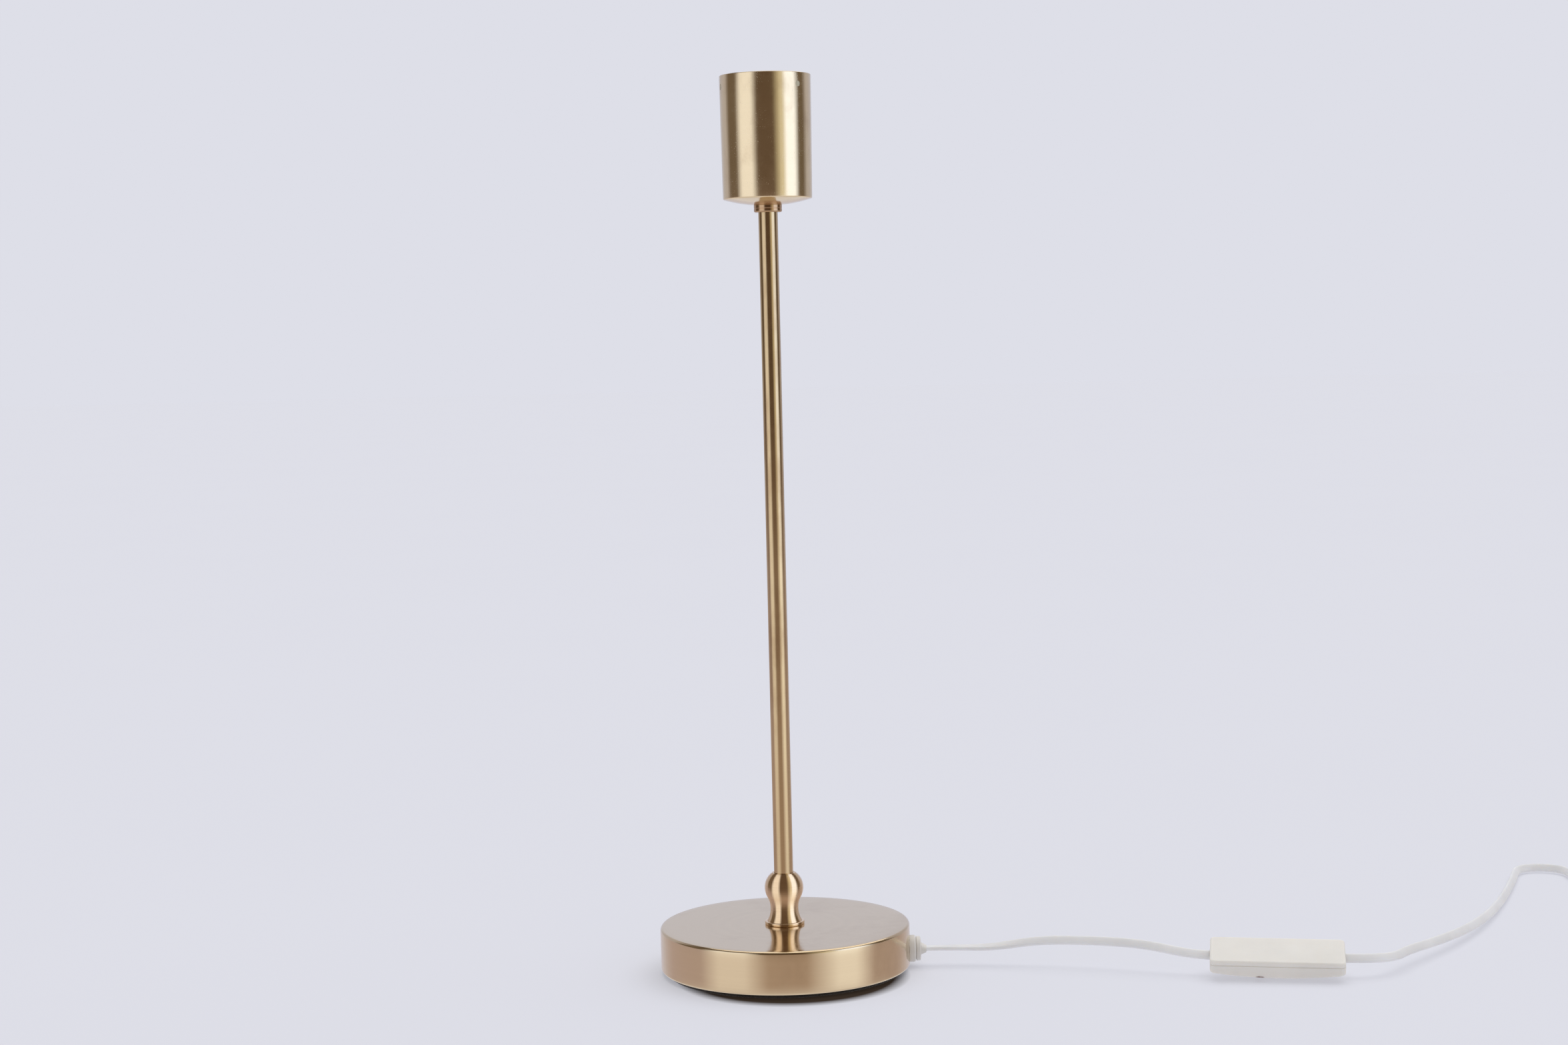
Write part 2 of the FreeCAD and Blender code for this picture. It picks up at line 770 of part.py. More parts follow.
def make_holder():
    turned(
        "holder_cap",
        [
            ("slip_radius", "cap_base"),
            ("holder_boss_radius", "cap_base"),
            ("holder_boss_radius", "cap_base + holder_boss_neck"),
            ("holder_radius - holder_flare", "cap_base + holder_boss_neck", "-quarter_share"),
            ("holder_radius", "cap_base + holder_boss_neck + holder_flare"),
            ("holder_radius", "cap_top"),
            ("holder_radius - holder_wall", "cap_top"),
            ("holder_radius - holder_wall", "carrier_base"),
            ("holder_radius - holder_wall - holder_ledge", "carrier_base"),
            (
                "holder_radius - holder_wall - holder_ledge",
                "cap_base + holder_boss_neck + holder_floor",
            ),
            ("holder_boss_radius", "cap_base + holder_boss_neck + holder_floor"),
            ("holder_boss_radius", "boss_top"),
            ("slip_radius", "boss_top"),
        ],
    )
    turned(
        "holder_sleeve",
        [
            ("shell_outer + fit_gap", "cap_top"),
            ("holder_radius", "cap_top"),
            ("holder_radius", "ring_base - holder_ring_step"),
            ("ring_radius", "ring_base"),
            ("ring_radius", "holder_rim"),
            ("holder_mouth_radius", "holder_rim"),
            ("shell_outer + fit_gap", "holder_rim - holder_mouth_depth"),
        ],
    )
    turned(
        "screw_shell",
        [
            ("shell_lip_radius", "shell_base"),
            ("shell_outer", "shell_base"),
            ("shell_outer", "shell_top"),
            ("shell_radius", "shell_top"),
            ("shell_radius", "shell_base + contact_thickness"),
            ("shell_lip_radius", "shell_base + contact_thickness"),
        ],
    )
    body = new_body("contact_carrier")
    turn(
        body,
        [
            ("0", "carrier_base"),
            ("holder_radius - holder_wall - fit_gap", "carrier_base"),
            ("holder_radius - holder_wall - fit_gap", "cap_top"),
            ("carrier_radius", "cap_top"),
            ("carrier_radius", "shell_base"),
            ("carrier_rim_radius", "shell_base"),
            ("carrier_rim_radius", "carrier_top"),
            ("0", "carrier_top"),
        ],
    )
    for side in ("", "-"):
        hole = draw_circle(body, "XY_Plane", f"{side}post_offset", "0", "post_radius + fit_gap")
        pocket(body, hole, "carrier_top + overrun", forward=True)
    finish(body, "contact_carrier")

    body = new_body("contact_root")
    strip = draw(
        body,
        "XY_Plane",
        [
            ("-root_outer", "-contact_width / 2"),
            ("-root_inner", "-contact_width / 2"),
            ("-root_inner", "contact_width / 2"),
            ("-root_outer", "contact_width / 2"),
        ],
        offset="carrier_top",
    )
    pad(body, strip, "contact_thickness")
    hole = draw_circle(body, "XY_Plane", "-post_offset", "0", "post_radius + fit_gap")
    pocket(body, hole, "contact_top + overrun", forward=True)
    finish(body, "contact_root")

    body = new_body("side_contact")
    side = draw(
        body,
        "XZ_Plane",
        [
            ("side_strip_inner", "carrier_top"),
            ("side_strip_outer", "carrier_top"),
            ("side_strip_outer", "shell_base + contact_thickness"),
            ("side_strip_outer - contact_thickness", "shell_base + contact_thickness"),
            ("side_strip_outer - contact_thickness", "contact_top"),
            ("side_strip_inner", "contact_top"),
        ],
    )
    pad(body, side, "contact_width", both_ways=True)
    hole = draw_circle(body, "XY_Plane", "post_offset", "0", "post_radius + fit_gap")
    pocket(body, hole, "contact_top + overrun", forward=True)
    finish(body, "side_contact")

    # sprung tongue that bears on the lamp's centre contact
    body = new_body("contact_tongue")
    side = draw(
        body,
        "XZ_Plane",
        [
            ("-tongue_start", "carrier_top + tongue_gap"),
            ("-tongue_bend + contact_thickness", "carrier_top + tongue_rise - contact_thickness"),
            ("tongue_tip - contact_thickness", "carrier_top + tongue_rise - contact_thickness"),
            (
                "tongue_tip + tongue_nose - contact_thickness",
                "carrier_top + tongue_rise - contact_thickness - tongue_nose",
            ),
            ("tongue_tip + tongue_nose", "carrier_top + tongue_rise - tongue_nose"),
            ("tongue_tip", "carrier_top + tongue_rise"),
            ("-tongue_bend", "carrier_top + tongue_rise"),
            ("-tongue_start", "contact_top + tongue_gap"),
        ],
    )
    pad(body, side, "contact_width", both_ways=True)
    finish(body, "contact_tongue")

    posts = []
    screws = []
    for name, side, aim in (("live", "-", -90), ("neutral", "", 90)):
        upright = FreeCAD.Rotation()
        block = doc.addObject("Part::Box", f"{name}_block")
        for property_name, size in (
            ("Length", "terminal_side"),
            ("Width", "terminal_side"),
            ("Height", "terminal_height"),
        ):
            block.setExpression(property_name, formula(size))
        block.Placement = FreeCAD.Placement(
            point(f"{side}post_offset - terminal_side / 2", "-terminal_side / 2", "terminal_base"),
            upright,
        )
        stud = cylinder(
            f"{name}_stud",
            "post_radius",
            "contact_top - carrier_base",
            FreeCAD.Placement(point(f"{side}post_offset", "0", "carrier_base"), upright),
        )
        head = cylinder(
            f"{name}_head",
            "post_head_radius",
            "post_head_height",
            FreeCAD.Placement(point(f"{side}post_offset", "0", "contact_top"), upright),
        )
        posts.append(fused(f"{name}_terminal", [block, stud, head]))
        outward = FreeCAD.Rotation(Y_AXIS, aim)
        face = f"{side}(post_offset + terminal_side / 2)"
        screws.append(
            cylinder(
                f"{name}_screw",
                "terminal_screw_head",
                "terminal_screw_cap",
                FreeCAD.Placement(point(face, "0", "terminal_base + terminal_height / 2"), outward),
            )
        )
    together("terminals", posts)
    together("terminal_screws", screws)


# Cords


def tube_path(route, radii=None):
    """Straight runs joined by tangent arcs, each as large as its two runs allow."""
    share = 0.45
    edges = []
    made_radii = []
    here = route[0]
    for index in range(1, len(route) - 1):
        corner = route[index]
        back = route[index - 1] - corner
        ahead = route[index + 1] - corner
        run = min(back.Length, ahead.Length)
        back.normalize()
        ahead.normalize()
        half_turn = (math.pi - back.getAngle(ahead)) / 2
        if radii is None:
            radius = share * run / math.tan(half_turn)
        else:
            radius = radii[index - 1]
        reach = radius * math.tan(half_turn)
        first = corner + back * reach
        last = corner + ahead * reach
        inward = (back + ahead).normalize()
        middle = corner + inward * (radius / math.cos(half_turn) - radius)
        edges.append(Part.LineSegment(here, first).toShape())
        edges.append(Part.Arc(first, middle, last).toShape())
        made_radii.append(round(radius, 1))
        here = last
    edges.append(Part.LineSegment(here, route[-1]).toShape())
    return Part.Wire(edges), made_radii


def tube(name, path, radius):
    """Round tube along a path, with its volume held against section times length."""
    start = path.Edges[0].valueAt(path.Edges[0].FirstParameter)
    heading = path.Edges[0].tangentAt(path.Edges[0].FirstParameter)
    section = Part.Wire([Part.Circle(start, heading, radius).toShape()])
    shape = path.makePipeShell([section], True, False)
    if shape.Volume < 0:
        shape.reverse()
    expected = math.pi * radius**2 * path.Length
    print(f"{name}: length {path.Length:.1f}, volume over section times length {shape.Volume / expected:.5f}")
    return shape


def switch_place():
    turn_to = FreeCAD.Rotation(number("switch_yaw"), number("switch_pitch"), number("switch_tilt"))
    return FreeCAD.Placement(point("switch_x", "switch_y", "switch_rise"), turn_to)


def bends(run):
    """The places that the cord bends at on one of its runs."""
    return [
        point(f"{run}_{index}_across", f"{run}_{index}_along", f"{run}_{index}_up")
        for index in range(1, len(BENDS[run]) + 1)
    ]


def cord_route_to_switch():
    """Out through the gland, arched clear of the table, into the switch's near end."""
    place = switch_place()
    inside = place.multVec(point("-switch_length / 2 + cord_hold", "0", "-cord_seat"))
    outside = place.multVec(point("-switch_length / 2 + cord_hold - lead_straight", "0", "-cord_seat"))
    joint = point("cover_inside", "0", "gland_height")
    return [joint] + bends("switch_run") + [outside, inside]


def cord_route_to_coil():
    """From the switch's far end down to the table, round a bend and into the coil."""
    place = switch_place()
    inside = place.multVec(point("switch_length / 2 - cord_hold", "0", "-cord_seat"))
    outside = place.multVec(point("switch_length / 2 - cord_hold + lead_straight", "0", "-cord_seat"))
    height = "cord_radius + floor_clear"
    approach = point("coil_x - 6 * cord_radius", "coil_y - coil_outer", height)
    end = point("coil_x - 2 * cord_radius", "coil_y - coil_outer", height)
    return [inside, outside] + bends("coil_run") + [approach, end]


def biarc(first, first_heading, last, last_heading):
    """Two tangent arcs between two points with given headings."""
    chord = last - first
    both = first_heading + last_heading
    spread = 2 * (1 - first_heading.dot(last_heading))
    along = chord.dot(both)
    reach = (math.sqrt(along**2 + spread * chord.dot(chord)) - along) / spread
    near = first + first_heading * reach
    far = last - last_heading * reach
    joint = (near + far) * 0.5
    arcs = []
    for start, apex, end in ((first, near, joint), (joint, far, last)):
        middle = (start + end) * 0.5
        rise = apex - middle
        half_chord = (end - start).Length / 2
        half_turn = math.atan2(rise.Length, half_chord)
        arcs.append(
            Part.Arc(start, middle + rise * (math.tan(half_turn / 2) / math.tan(half_turn)), end).toShape()
        )
    return arcs


# The coil's turns are counted in quarters
step_count = 4
inward_count = 12
climb_count = 2
outward_count = 11
settle_count = 1
coil_count = inward_count + climb_count + outward_count
coil_turns = coil_count / step_count


def coil_place(turns):
    """Centre of the cord after so many turns: in along the table, up, and out again."""
    inward = inward_count / step_count
    climb = climb_count / step_count
    outward = outward_count / step_count
    settle = settle_count / step_count
    lowest = number("cord_radius + floor_clear")
    layer = number("coil_layer")
    radius = number("coil_inner")
    height = lowest + layer
    if turns <= inward:
        radius = number("coil_outer") - number("coil_pitch") * turns
        height = lowest
    elif turns <= inward + climb:
        part_way = (turns - inward) / climb
        height = lowest + layer * part_way
        radius -= number("coil_pitch") * climb / math.pi * math.sin(math.pi * part_way)
    else:
        since = turns - inward - climb
        radius += number("coil_top_pitch") * since
        left = outward - since
        if left < settle:
            drop = height - number("plug_thickness / 2 + floor_clear")
            height -= drop * (settle - left) / settle
    angle = 2 * math.pi * turns - math.pi / 2
    return FreeCAD.Vector(
        number("coil_x") + radius * math.cos(angle), number("coil_y") + radius * math.sin(angle), height
    )


def coil_heading(turns):
    """Heading of the coil, level and square to the radius at both of its ends."""
    if turns in (0, coil_turns):
        angle = 2 * math.pi * turns
        return FreeCAD.Vector(math.cos(angle), math.sin(angle), 0)
    step = 0.02
    return (coil_place(turns + step) - coil_place(turns - step)).normalize()


def make_coil():
    edges = []
    lead = number("2 * cord_radius")
    stops = [index / step_count for index in range(coil_count + 1)]
    start = coil_place(0)
    edges.append(Part.LineSegment(start - coil_heading(0) * lead, start).toShape())
    for here, there in zip(stops[:-1], stops[1:]):
        edges += biarc(coil_place(here), coil_heading(here), coil_place(there), coil_heading(there))
    end = coil_place(coil_turns)
    edges.append(Part.LineSegment(end, end + coil_heading(coil_turns) * lead).toShape())
    path = Part.Wire(edges)
    spots = path.discretize(Distance=lead / 2)
    spacing = path.Length / (len(spots) - 1)
    apart = int(4 * lead / spacing)
    least = path.Length
    for index, spot in enumerate(spots):
        for other in spots[index + apart :]:
            least = min(least, spot.distanceToPoint(other))
    print(f"cord_coil: least gap to itself {least - lead:.2f}")
    plain_part("cord_coil", tube("cord_coil", path, number("cord_radius")))
    return end + coil_heading(coil_turns) * lead, coil_heading(coil_turns)


def make_cords():
    radius = number("cord_radius")
    for label, route in (
        ("cord_to_switch", cord_route_to_switch()),
        ("cord_to_coil", cord_route_to_coil()),
    ):
        path, radii = tube_path(route)
        print(f"{label}: radii {radii}")
        plain_part(label, tube(label, path, radius))
    inside = [
        point("cover_inside", "0", "gland_height"),
        point("dip_start", "0", "gland_height"),
        point("dip_end", "0", "dip_height"),
        point("0", "0", "dip_height"),
        point("0", "0", "sheath_top"),
    ]
    path, radii = tube_path(inside, [number("rise_bend"), number("dip_bend"), number("stem_bend")])
    print(f"inner_cord: radii {radii}")
    plain_part("inner_cord", tube("inner_cord", path, radius))

    leads = []
    for side in (-1, 1):
        bottom = point("lead_offset", "0", "sheath_top")
        face = point("post_offset - terminal_side / 2", "0", "terminal_base + terminal_height / 2")
        route = [bottom, FreeCAD.Vector(bottom.x, 0, face.z), face]
        for spot in route:
            spot.x *= side
        path = tube_path(route, [number("lead_bend")])[0]
        leads.append(tube("holder_lead", path, number("lead_radius")))
    plain_part("holder_leads", Part.makeCompound(leads))


# Gland, its nut and the clip that holds the cord in the foot


def make_gland():
    sideways = FreeCAD.Placement(
        point("drum_radius", "0", "gland_height"), FreeCAD.Rotation(Y_AXIS, 90)
    )
    turned(
        "cord_gland",
        [
            ("cord_bore", "-cover_wall - gland_nut_length"),
            ("gland_neck_radius", "-cover_wall - gland_nut_length"),
            ("gland_neck_radius", "0"),
            ("gland_flange_radius", "0"),
            ("gland_flange_radius", "gland_flange_length - gland_edge"),
            ("gland_flange_radius - gland_edge", "gland_flange_length"),
            ("cord_bore", "gland_flange_length"),
        ],
        sideways,
    )
    turned(
        "gland_cap",
        [
            ("cord_bore", "gland_flange_length"),
            ("gland_cap_radius", "gland_flange_length"),
            ("gland_cap_radius", "gland_flange_length + gland_cap_length - gland_edge"),
            ("gland_cap_radius - gland_edge", "gland_flange_length + gland_cap_length"),
            ("gland_boss_radius", "gland_flange_length + gland_cap_length"),
            ("gland_boss_radius", "gland_end"),
            ("cord_bore", "gland_end"),
        ],
        sideways,
    )
    turned(
        "gland_nut",
        [
            ("gland_neck_radius + fit_gap", "-cover_wall - gland_nut_length"),
            ("gland_nut_radius", "-cover_wall - gland_nut_length"),
            ("gland_nut_radius", "-cover_wall - gland_nut_gap"),
            ("gland_neck_radius + fit_gap", "-cover_wall - gland_nut_gap"),
        ],
        sideways,
    )
    body = new_body("cord_clip")
    saddle = draw(
        body,
        "YZ_Plane",
        [
            ("-clip_width / 2", "clip_top - clip_wall"),
            ("-clip_width / 2", "clip_top"),
            ("-cord_bore", "clip_top"),
            ("-cord_bore", "gland_height", "-quarter_share"),
            ("0", "gland_height - cord_bore", "-quarter_share"),
            ("cord_bore", "gland_height"),
            ("cord_bore", "clip_top"),
            ("clip_width / 2", "clip_top"),
            ("clip_width / 2", "clip_top - clip_wall"),
            ("cord_bore + clip_wall", "clip_top - clip_wall"),
            ("cord_bore + clip_wall", "clip_base"),
            ("-cord_bore - clip_wall", "clip_base"),
            ("-cord_bore - clip_wall", "clip_top - clip_wall"),
        ],
        offset="clip_place - clip_length / 2",
    )
    pad(body, saddle, "clip_length")
    for side in ("", "-"):
        hole = draw_circle(
            body, "XY_Plane", "clip_place", f"{side}clip_screw_offset", "clip_screw_radius + fit_gap"
        )
        pocket(body, hole, "clip_top + overrun", forward=True)
    finish(body, "cord_clip")

    screws = []
    for name, side in (("near", "-"), ("far", "")):
        upright = FreeCAD.Rotation()
        foot = point("clip_place", f"{side}clip_screw_offset", "clip_top - clip_wall")
        drop = point("0", "0", "clip_screw_cap")
        shank = cylinder(
            f"{name}_clip_shank",
            "clip_screw_radius",
            "clip_wall + clip_screw_reach",
            FreeCAD.Placement(foot, upright),
        )
        head = cylinder(
            f"{name}_clip_head",
            "clip_screw_head",
            "clip_screw_cap",
            FreeCAD.Placement(foot - drop, upright),
        )
        screws.append(fused(f"{name}_clip_screw", [shank, head]))
    together("clip_screws", screws)


# In-line switch, made with its flat back up at the origin and X along the cord


def round_block(body):
    """Round the four upright corners of a block."""
    hair = number("hair")
    return round_edges(
        body,
        body.Tip,
        "switch_corner",
        lambda box: box.XLength < hair and box.YLength < hair,
    )


def box_corners(length, width):
    return [
        (f"-({length}) / 2", f"-({width}) / 2"),
        (f"({length}) / 2", f"-({width}) / 2"),
        (f"({length}) / 2", f"({width}) / 2"),
        (f"-({length}) / 2", f"({width}) / 2"),
    ]


def make_switch():
    place = switch_place()
    body = new_body("switch_back_cover")
    plan = draw(body, "XY_Plane", box_corners("switch_length", "switch_width"), "-back_depth")
    pad(body, plan, "back_depth")
    rounded = round_block(body)
    round_edges(
        body,
        rounded,
        "switch_back_edge",
        lambda box: box.ZMin > -number("hair"),
        "PartDesign::Chamfer",
    )
    hollow = draw(
        body,
        "XY_Plane",
        box_corners("switch_length - 2 * switch_wall", "switch_width - 2 * switch_wall"),
        "-back_depth",
    )
    pocket(body, hollow, "back_depth - back_floor", forward=True)
    notch = draw_circle(body, "YZ_Plane", "0", "-cord_seat", "cord_bore")
    pocket(body, notch, "switch_length + overrun", both_ways=True)
    finish(body, "switch_back_cover", place)

    body = new_body("switch_front_cover")
    side = draw(
        body,
        "XZ_Plane",
        [
            (
                "-switch_length / 2",
                "-front_end_depth",
                "-(front_mid_depth - front_end_depth) / (switch_length / 2)",
            ),
            ("switch_length / 2", "-front_end_depth"),
            ("switch_length / 2", "-back_depth"),
            ("-switch_length / 2", "-back_depth"),
        ],
    )
    pad(body, side, "switch_width", both_ways=True)
    rounded = round_block(body)
    lowest = number("hair - front_end_depth")
    round_edges(body, rounded, "front_edge", lambda box: box.ZMax < lowest)
    hollow = draw(
        body,
        "XY_Plane",
        box_corners("switch_length - 2 * switch_wall", "switch_width - 2 * switch_wall"),
        "-back_depth",
    )
    pocket(body, hollow, "front_hollow - back_depth")
    window = draw(body, "XY_Plane", box_corners("window_length", "window_width"))
    pocket(body, window, "front_mid_depth + overrun")
    notch = draw_circle(body, "YZ_Plane", "0", "-cord_seat", "cord_bore")
    pocket(body, notch, "switch_length + overrun", both_ways=True)
    hole = draw_circle(body, "XZ_Plane", "0", "-rocker_pivot", "pin_radius + pin_gap")
    pocket(body, hole, "pin_pocket", both_ways=True)
    finish(body, "switch_front_cover", place)

    pivot = point("0", "0", "-rocker_pivot")
    swing = FreeCAD.Rotation(Y_AXIS, -number("rocker_swing"))
    rocked = place.multiply(FreeCAD.Placement(FreeCAD.Vector(), swing, pivot))
    body = new_body("switch_rocker")
    side = draw(
        body,
        "XZ_Plane",
        [
            ("-rocker_length / 2", "-rocker_end_top"),
            ("-rocker_length / 2", "-rocker_tip"),
            ("0", "-rocker_valley"),
            ("rocker_length / 2", "-rocker_tip"),
            ("rocker_length / 2", "-rocker_end_top"),
            ("rocker_shoulder", "-rocker_shoulder_top"),
            ("rocker_crown", "-rocker_pivot + rocker_crown"),
            ("-rocker_crown", "-rocker_pivot + rocker_crown"),
            ("-rocker_shoulder", "-rocker_shoulder_top"),
        ],
    )
    block = pad(body, side, "rocker_width", both_ways=True)
    reach = number("rocker_shoulder")
    lowest = number("hair - rocker_valley")
    round_edges(body, block, "rocker_edge", lambda box: box.ZMax < lowest and box.XLength > reach)
    bore = draw_circle(body, "XZ_Plane", "0", "-rocker_pivot", "pin_radius + pin_gap")
    pocket(body, bore, "rocker_width + overrun", both_ways=True)
    finish(body, "switch_rocker", rocked)

    body = new_body("switch_bridge")
    plan = draw(
        body,
        "XY_Plane",
        box_corners("bridge_length", "bridge_width"),
        "-rocker_pivot + rocker_crown",
    )
    pad(body, plan, "bridge_thickness")
    finish(body, "switch_bridge", rocked)

    along = FreeCAD.Rotation(X_AXIS, -90)
    pin = cylinder(
        "pin_bar",
        "pin_radius",
        "pin_length",
        FreeCAD.Placement(point("0", "-pin_length / 2", "-rocker_pivot"), along),
    )
    finish(pin, "rocker_pin", place)

    blades = []
    for side in ("-", ""):
        blade = doc.addObject("Part::Box", "blade")
        for property_name, size in (
            ("Length", "blade_length"),
            ("Width", "blade_width"),
            ("Height", "blade_depth - back_floor"),
        ):
            blade.setExpression(property_name, formula(size))
        blade.Placement = FreeCAD.Placement(
            point("blade_place", f"{side}blade_offset - blade_width / 2", "-blade_depth"),
            FreeCAD.Rotation(),
        )
        blades.append(blade)
    together("switch_contacts", blades, place)


# Plug, made with X along its pins and its origin where the cord enters


def make_plug(cord_end, heading):
    facing = FreeCAD.Rotation(X_AXIS, heading)
    place = FreeCAD.Placement(cord_end, facing)
    lengthways = place.multiply(FreeCAD.Placement(FreeCAD.Vector(), FreeCAD.Rotation(Y_AXIS, 90)))

    count = int(number("relief_grooves"))
    outline = [("0", "0"), ("relief_tail_radius", "0")]
    for index in range(1, count + 1):
        share = f"{index} / (relief_grooves + 1)"
        radius = f"relief_tail_radius + (relief_root_radius - relief_tail_radius) * {share}"
        near = f"relief_length * {share} - relief_groove / 2"
        far = f"relief_length * {share} + relief_groove / 2"
        outline += [
            (radius, near),
            (f"{radius} - relief_groove_depth", near),
            (f"{radius} - relief_groove_depth", far),
            (radius, far),
        ]
    outline += [("relief_root_radius", "relief_length"), ("0", "relief_length")]
    turned("plug_relief", outline, lengthways)

    body = new_body("plug_body")
    front = "relief_length + plug_length"
    plan = draw(
        body,
        "XY_Plane",
        [
            ("relief_length", "-plug_tail_width / 2", "plug_waist_share"),
            (f"{front} - plug_front", "-plug_width / 2"),
            (front, "-plug_width / 2"),
            (front, "plug_width / 2"),
            (f"{front} - plug_front", "plug_width / 2", "plug_waist_share"),
            ("relief_length", "plug_tail_width / 2"),
        ],
    )
    block = pad(body, plan, "plug_thickness", both_ways=True)
    face = number(front) - number("hair")
    level = number("plug_thickness / 2") - number("hair")
    rounded = round_edges(
        body,
        block,
        "plug_edge",
        lambda box: box.XMin < face and box.ZLength < number("hair") and max(box.ZMax, -box.ZMin) > level,
    )
    round_edges(body, rounded, "plug_face_edge", lambda box: box.XMin > face)
    for side in ("-", ""):
        hole = draw_circle(
            body,
            "YZ_Plane",
            f"{side}prong_spacing / 2",
            "0",
            "prong_neck_radius + fit_gap",
            front,
        )
        pocket(body, hole, "prong_root + fit_gap")
    finish(body, "plug_body", place)

    aim = FreeCAD.Rotation(Y_AXIS, 90)
    pins = []
    sleeves = []
    for name, side in (("first", "-"), ("second", "")):
        offset = f"{side}prong_spacing / 2"
        neck = cylinder(
            f"{name}_neck",
            "prong_neck_radius",
            "prong_root + sleeve_length",
            FreeCAD.Placement(point(f"{front} - prong_root", offset, "0"), aim),
        )
        bar = cylinder(
            f"{name}_bar",
            "prong_radius",
            "prong_length - sleeve_length - prong_tip",
            FreeCAD.Placement(point(f"{front} + sleeve_length", offset, "0"), aim),
        )
        tip = doc.addObject("Part::Cone", f"{name}_tip")
        for property_name, size in (
            ("Radius1", "prong_radius"),
            ("Radius2", "prong_tip_radius"),
            ("Height", "prong_tip"),
        ):
            tip.setExpression(property_name, formula(size))
        tip.Placement = FreeCAD.Placement(
            point(f"{front} + prong_length - prong_tip", offset, "0"), aim
        )
        pins.append(fused(f"{name}_pin", [neck, bar, tip]))
        sleeves.append(
            ring(
                f"{name}_sleeve",
                "sleeve_radius",
                "prong_neck_radius + fit_gap",
                "sleeve_length",
                FreeCAD.Placement(point(front, offset, "0"), aim),
            )
        )
    together("plug_pins", pins, place)
    together("pin_sleeves", sleeves, place)


make_foot()
make_stem()
make_cup()
make_holder()
make_gland()
make_cords()
make_switch()
coil_end, coil_end_heading = make_coil()
make_plug(coil_end, coil_end_heading)

doc.recompute()
for made in doc.Objects:
    if "Invalid" in made.State or "Error" in made.State:
        raise RuntimeError(f"{made.Name} did not recompute: {made.State}")
for piece in finished:
    if piece.Shape.isNull() or not piece.Shape.isValid():
        raise RuntimeError(f"{piece.Label} has no sound shape")
    box = piece.Shape.BoundBox
    print(
        f"{piece.Label}: {len(piece.Shape.Solids)} solid, volume {piece.Shape.Volume:.1f}, "
        f"x {box.XMin:.2f} to {box.XMax:.2f}, y {box.YMin:.2f} to {box.YMax:.2f}, "
        f"z {box.ZMin:.2f} to {box.ZMax:.2f}"
    )
    piece.Shape.exportStep(f"parts/{piece.Label}.step")
print(f"{len(finished)} pieces")
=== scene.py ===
"""Brass table lamp with an open cup, an in-line switch and a flat plug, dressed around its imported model."""

import math

import bmesh
import bpy
from bpy.props import FloatProperty, FloatVectorProperty, PointerProperty
from mathutils import Euler, Matrix, Vector


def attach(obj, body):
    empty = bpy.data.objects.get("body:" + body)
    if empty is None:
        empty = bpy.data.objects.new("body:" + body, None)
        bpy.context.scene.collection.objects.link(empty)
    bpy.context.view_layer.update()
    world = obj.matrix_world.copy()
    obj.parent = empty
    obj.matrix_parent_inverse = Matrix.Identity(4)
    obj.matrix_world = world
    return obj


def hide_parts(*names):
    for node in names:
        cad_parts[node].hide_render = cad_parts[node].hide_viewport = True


bl_info = {
    "name": "Brass Table Lamp",
    "version": (1, 0, 0),
    "blender": (4, 5, 0),
    "location": "View3D > Sidebar > Lamp",
    "description": "Dresses a brass table lamp with its cord, switch and plug",
    "category": "Object",
}

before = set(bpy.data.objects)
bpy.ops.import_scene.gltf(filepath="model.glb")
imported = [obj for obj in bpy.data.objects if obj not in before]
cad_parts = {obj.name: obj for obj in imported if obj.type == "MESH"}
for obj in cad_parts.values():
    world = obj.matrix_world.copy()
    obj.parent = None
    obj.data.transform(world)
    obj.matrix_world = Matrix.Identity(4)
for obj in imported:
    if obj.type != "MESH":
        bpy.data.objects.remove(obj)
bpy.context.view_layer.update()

MM = 0.001
ROUND_STEPS = 192
# Edges that turn by more than so many degrees stay sharp
SHARP_TURN = 28.0


# Sizes and colours that a user would change


def colour_choice(name, description, default):
    """Property that holds a colour."""
    return FloatVectorProperty(name=name, description=description, subtype="COLOR", default=default)


def number_choice(name, description, default, **limits):
    """Property that holds a number."""
    return FloatProperty(name=name, description=description, default=default, **limits)


# Limits of a share between nought and one
SHARE = {"min": 0.0, "max": 1.0, "subtype": "FACTOR"}


class LampFinishes(bpy.types.PropertyGroup):
    """Colours and gloss of the lamp's metals"""

    cup_brass: colour_choice("Brass", "Colour of the cup", (0.76, 0.60, 0.38))
    baluster_brass: colour_choice(
        "Turned brass", "Warmer colour of the turned piece on the foot", (0.82, 0.585, 0.35)
    )
    tarnish: colour_choice("Tarnish", "Brown of the darker patches on all the brass", (0.36, 0.22, 0.11))
    wall_gloss: number_choice("Wall roughness", "Roughness of the cup's brushed wall", 0.16, **SHARE)
    top_gloss: number_choice("Top roughness", "Roughness of the foot's flat top", 0.09, **SHARE)


class CordFinishes(bpy.types.PropertyGroup):
    """Sizes and colours of the cord and the pieces on it"""

    lobe_radius: number_choice("Half thickness", "Half the flat cord's thickness", 1.15 * MM, unit="LENGTH")
    lobe_offset: number_choice("Core offset", "How far a core lies off the middle", 1.3 * MM, unit="LENGTH")
    cord_white: colour_choice("Cord", "Colour of the cord's sheath", (0.76, 0.755, 0.755))
    switch_ivory: colour_choice("Switch", "Colour of the switch, gland and plug", (0.75, 0.717, 0.665))


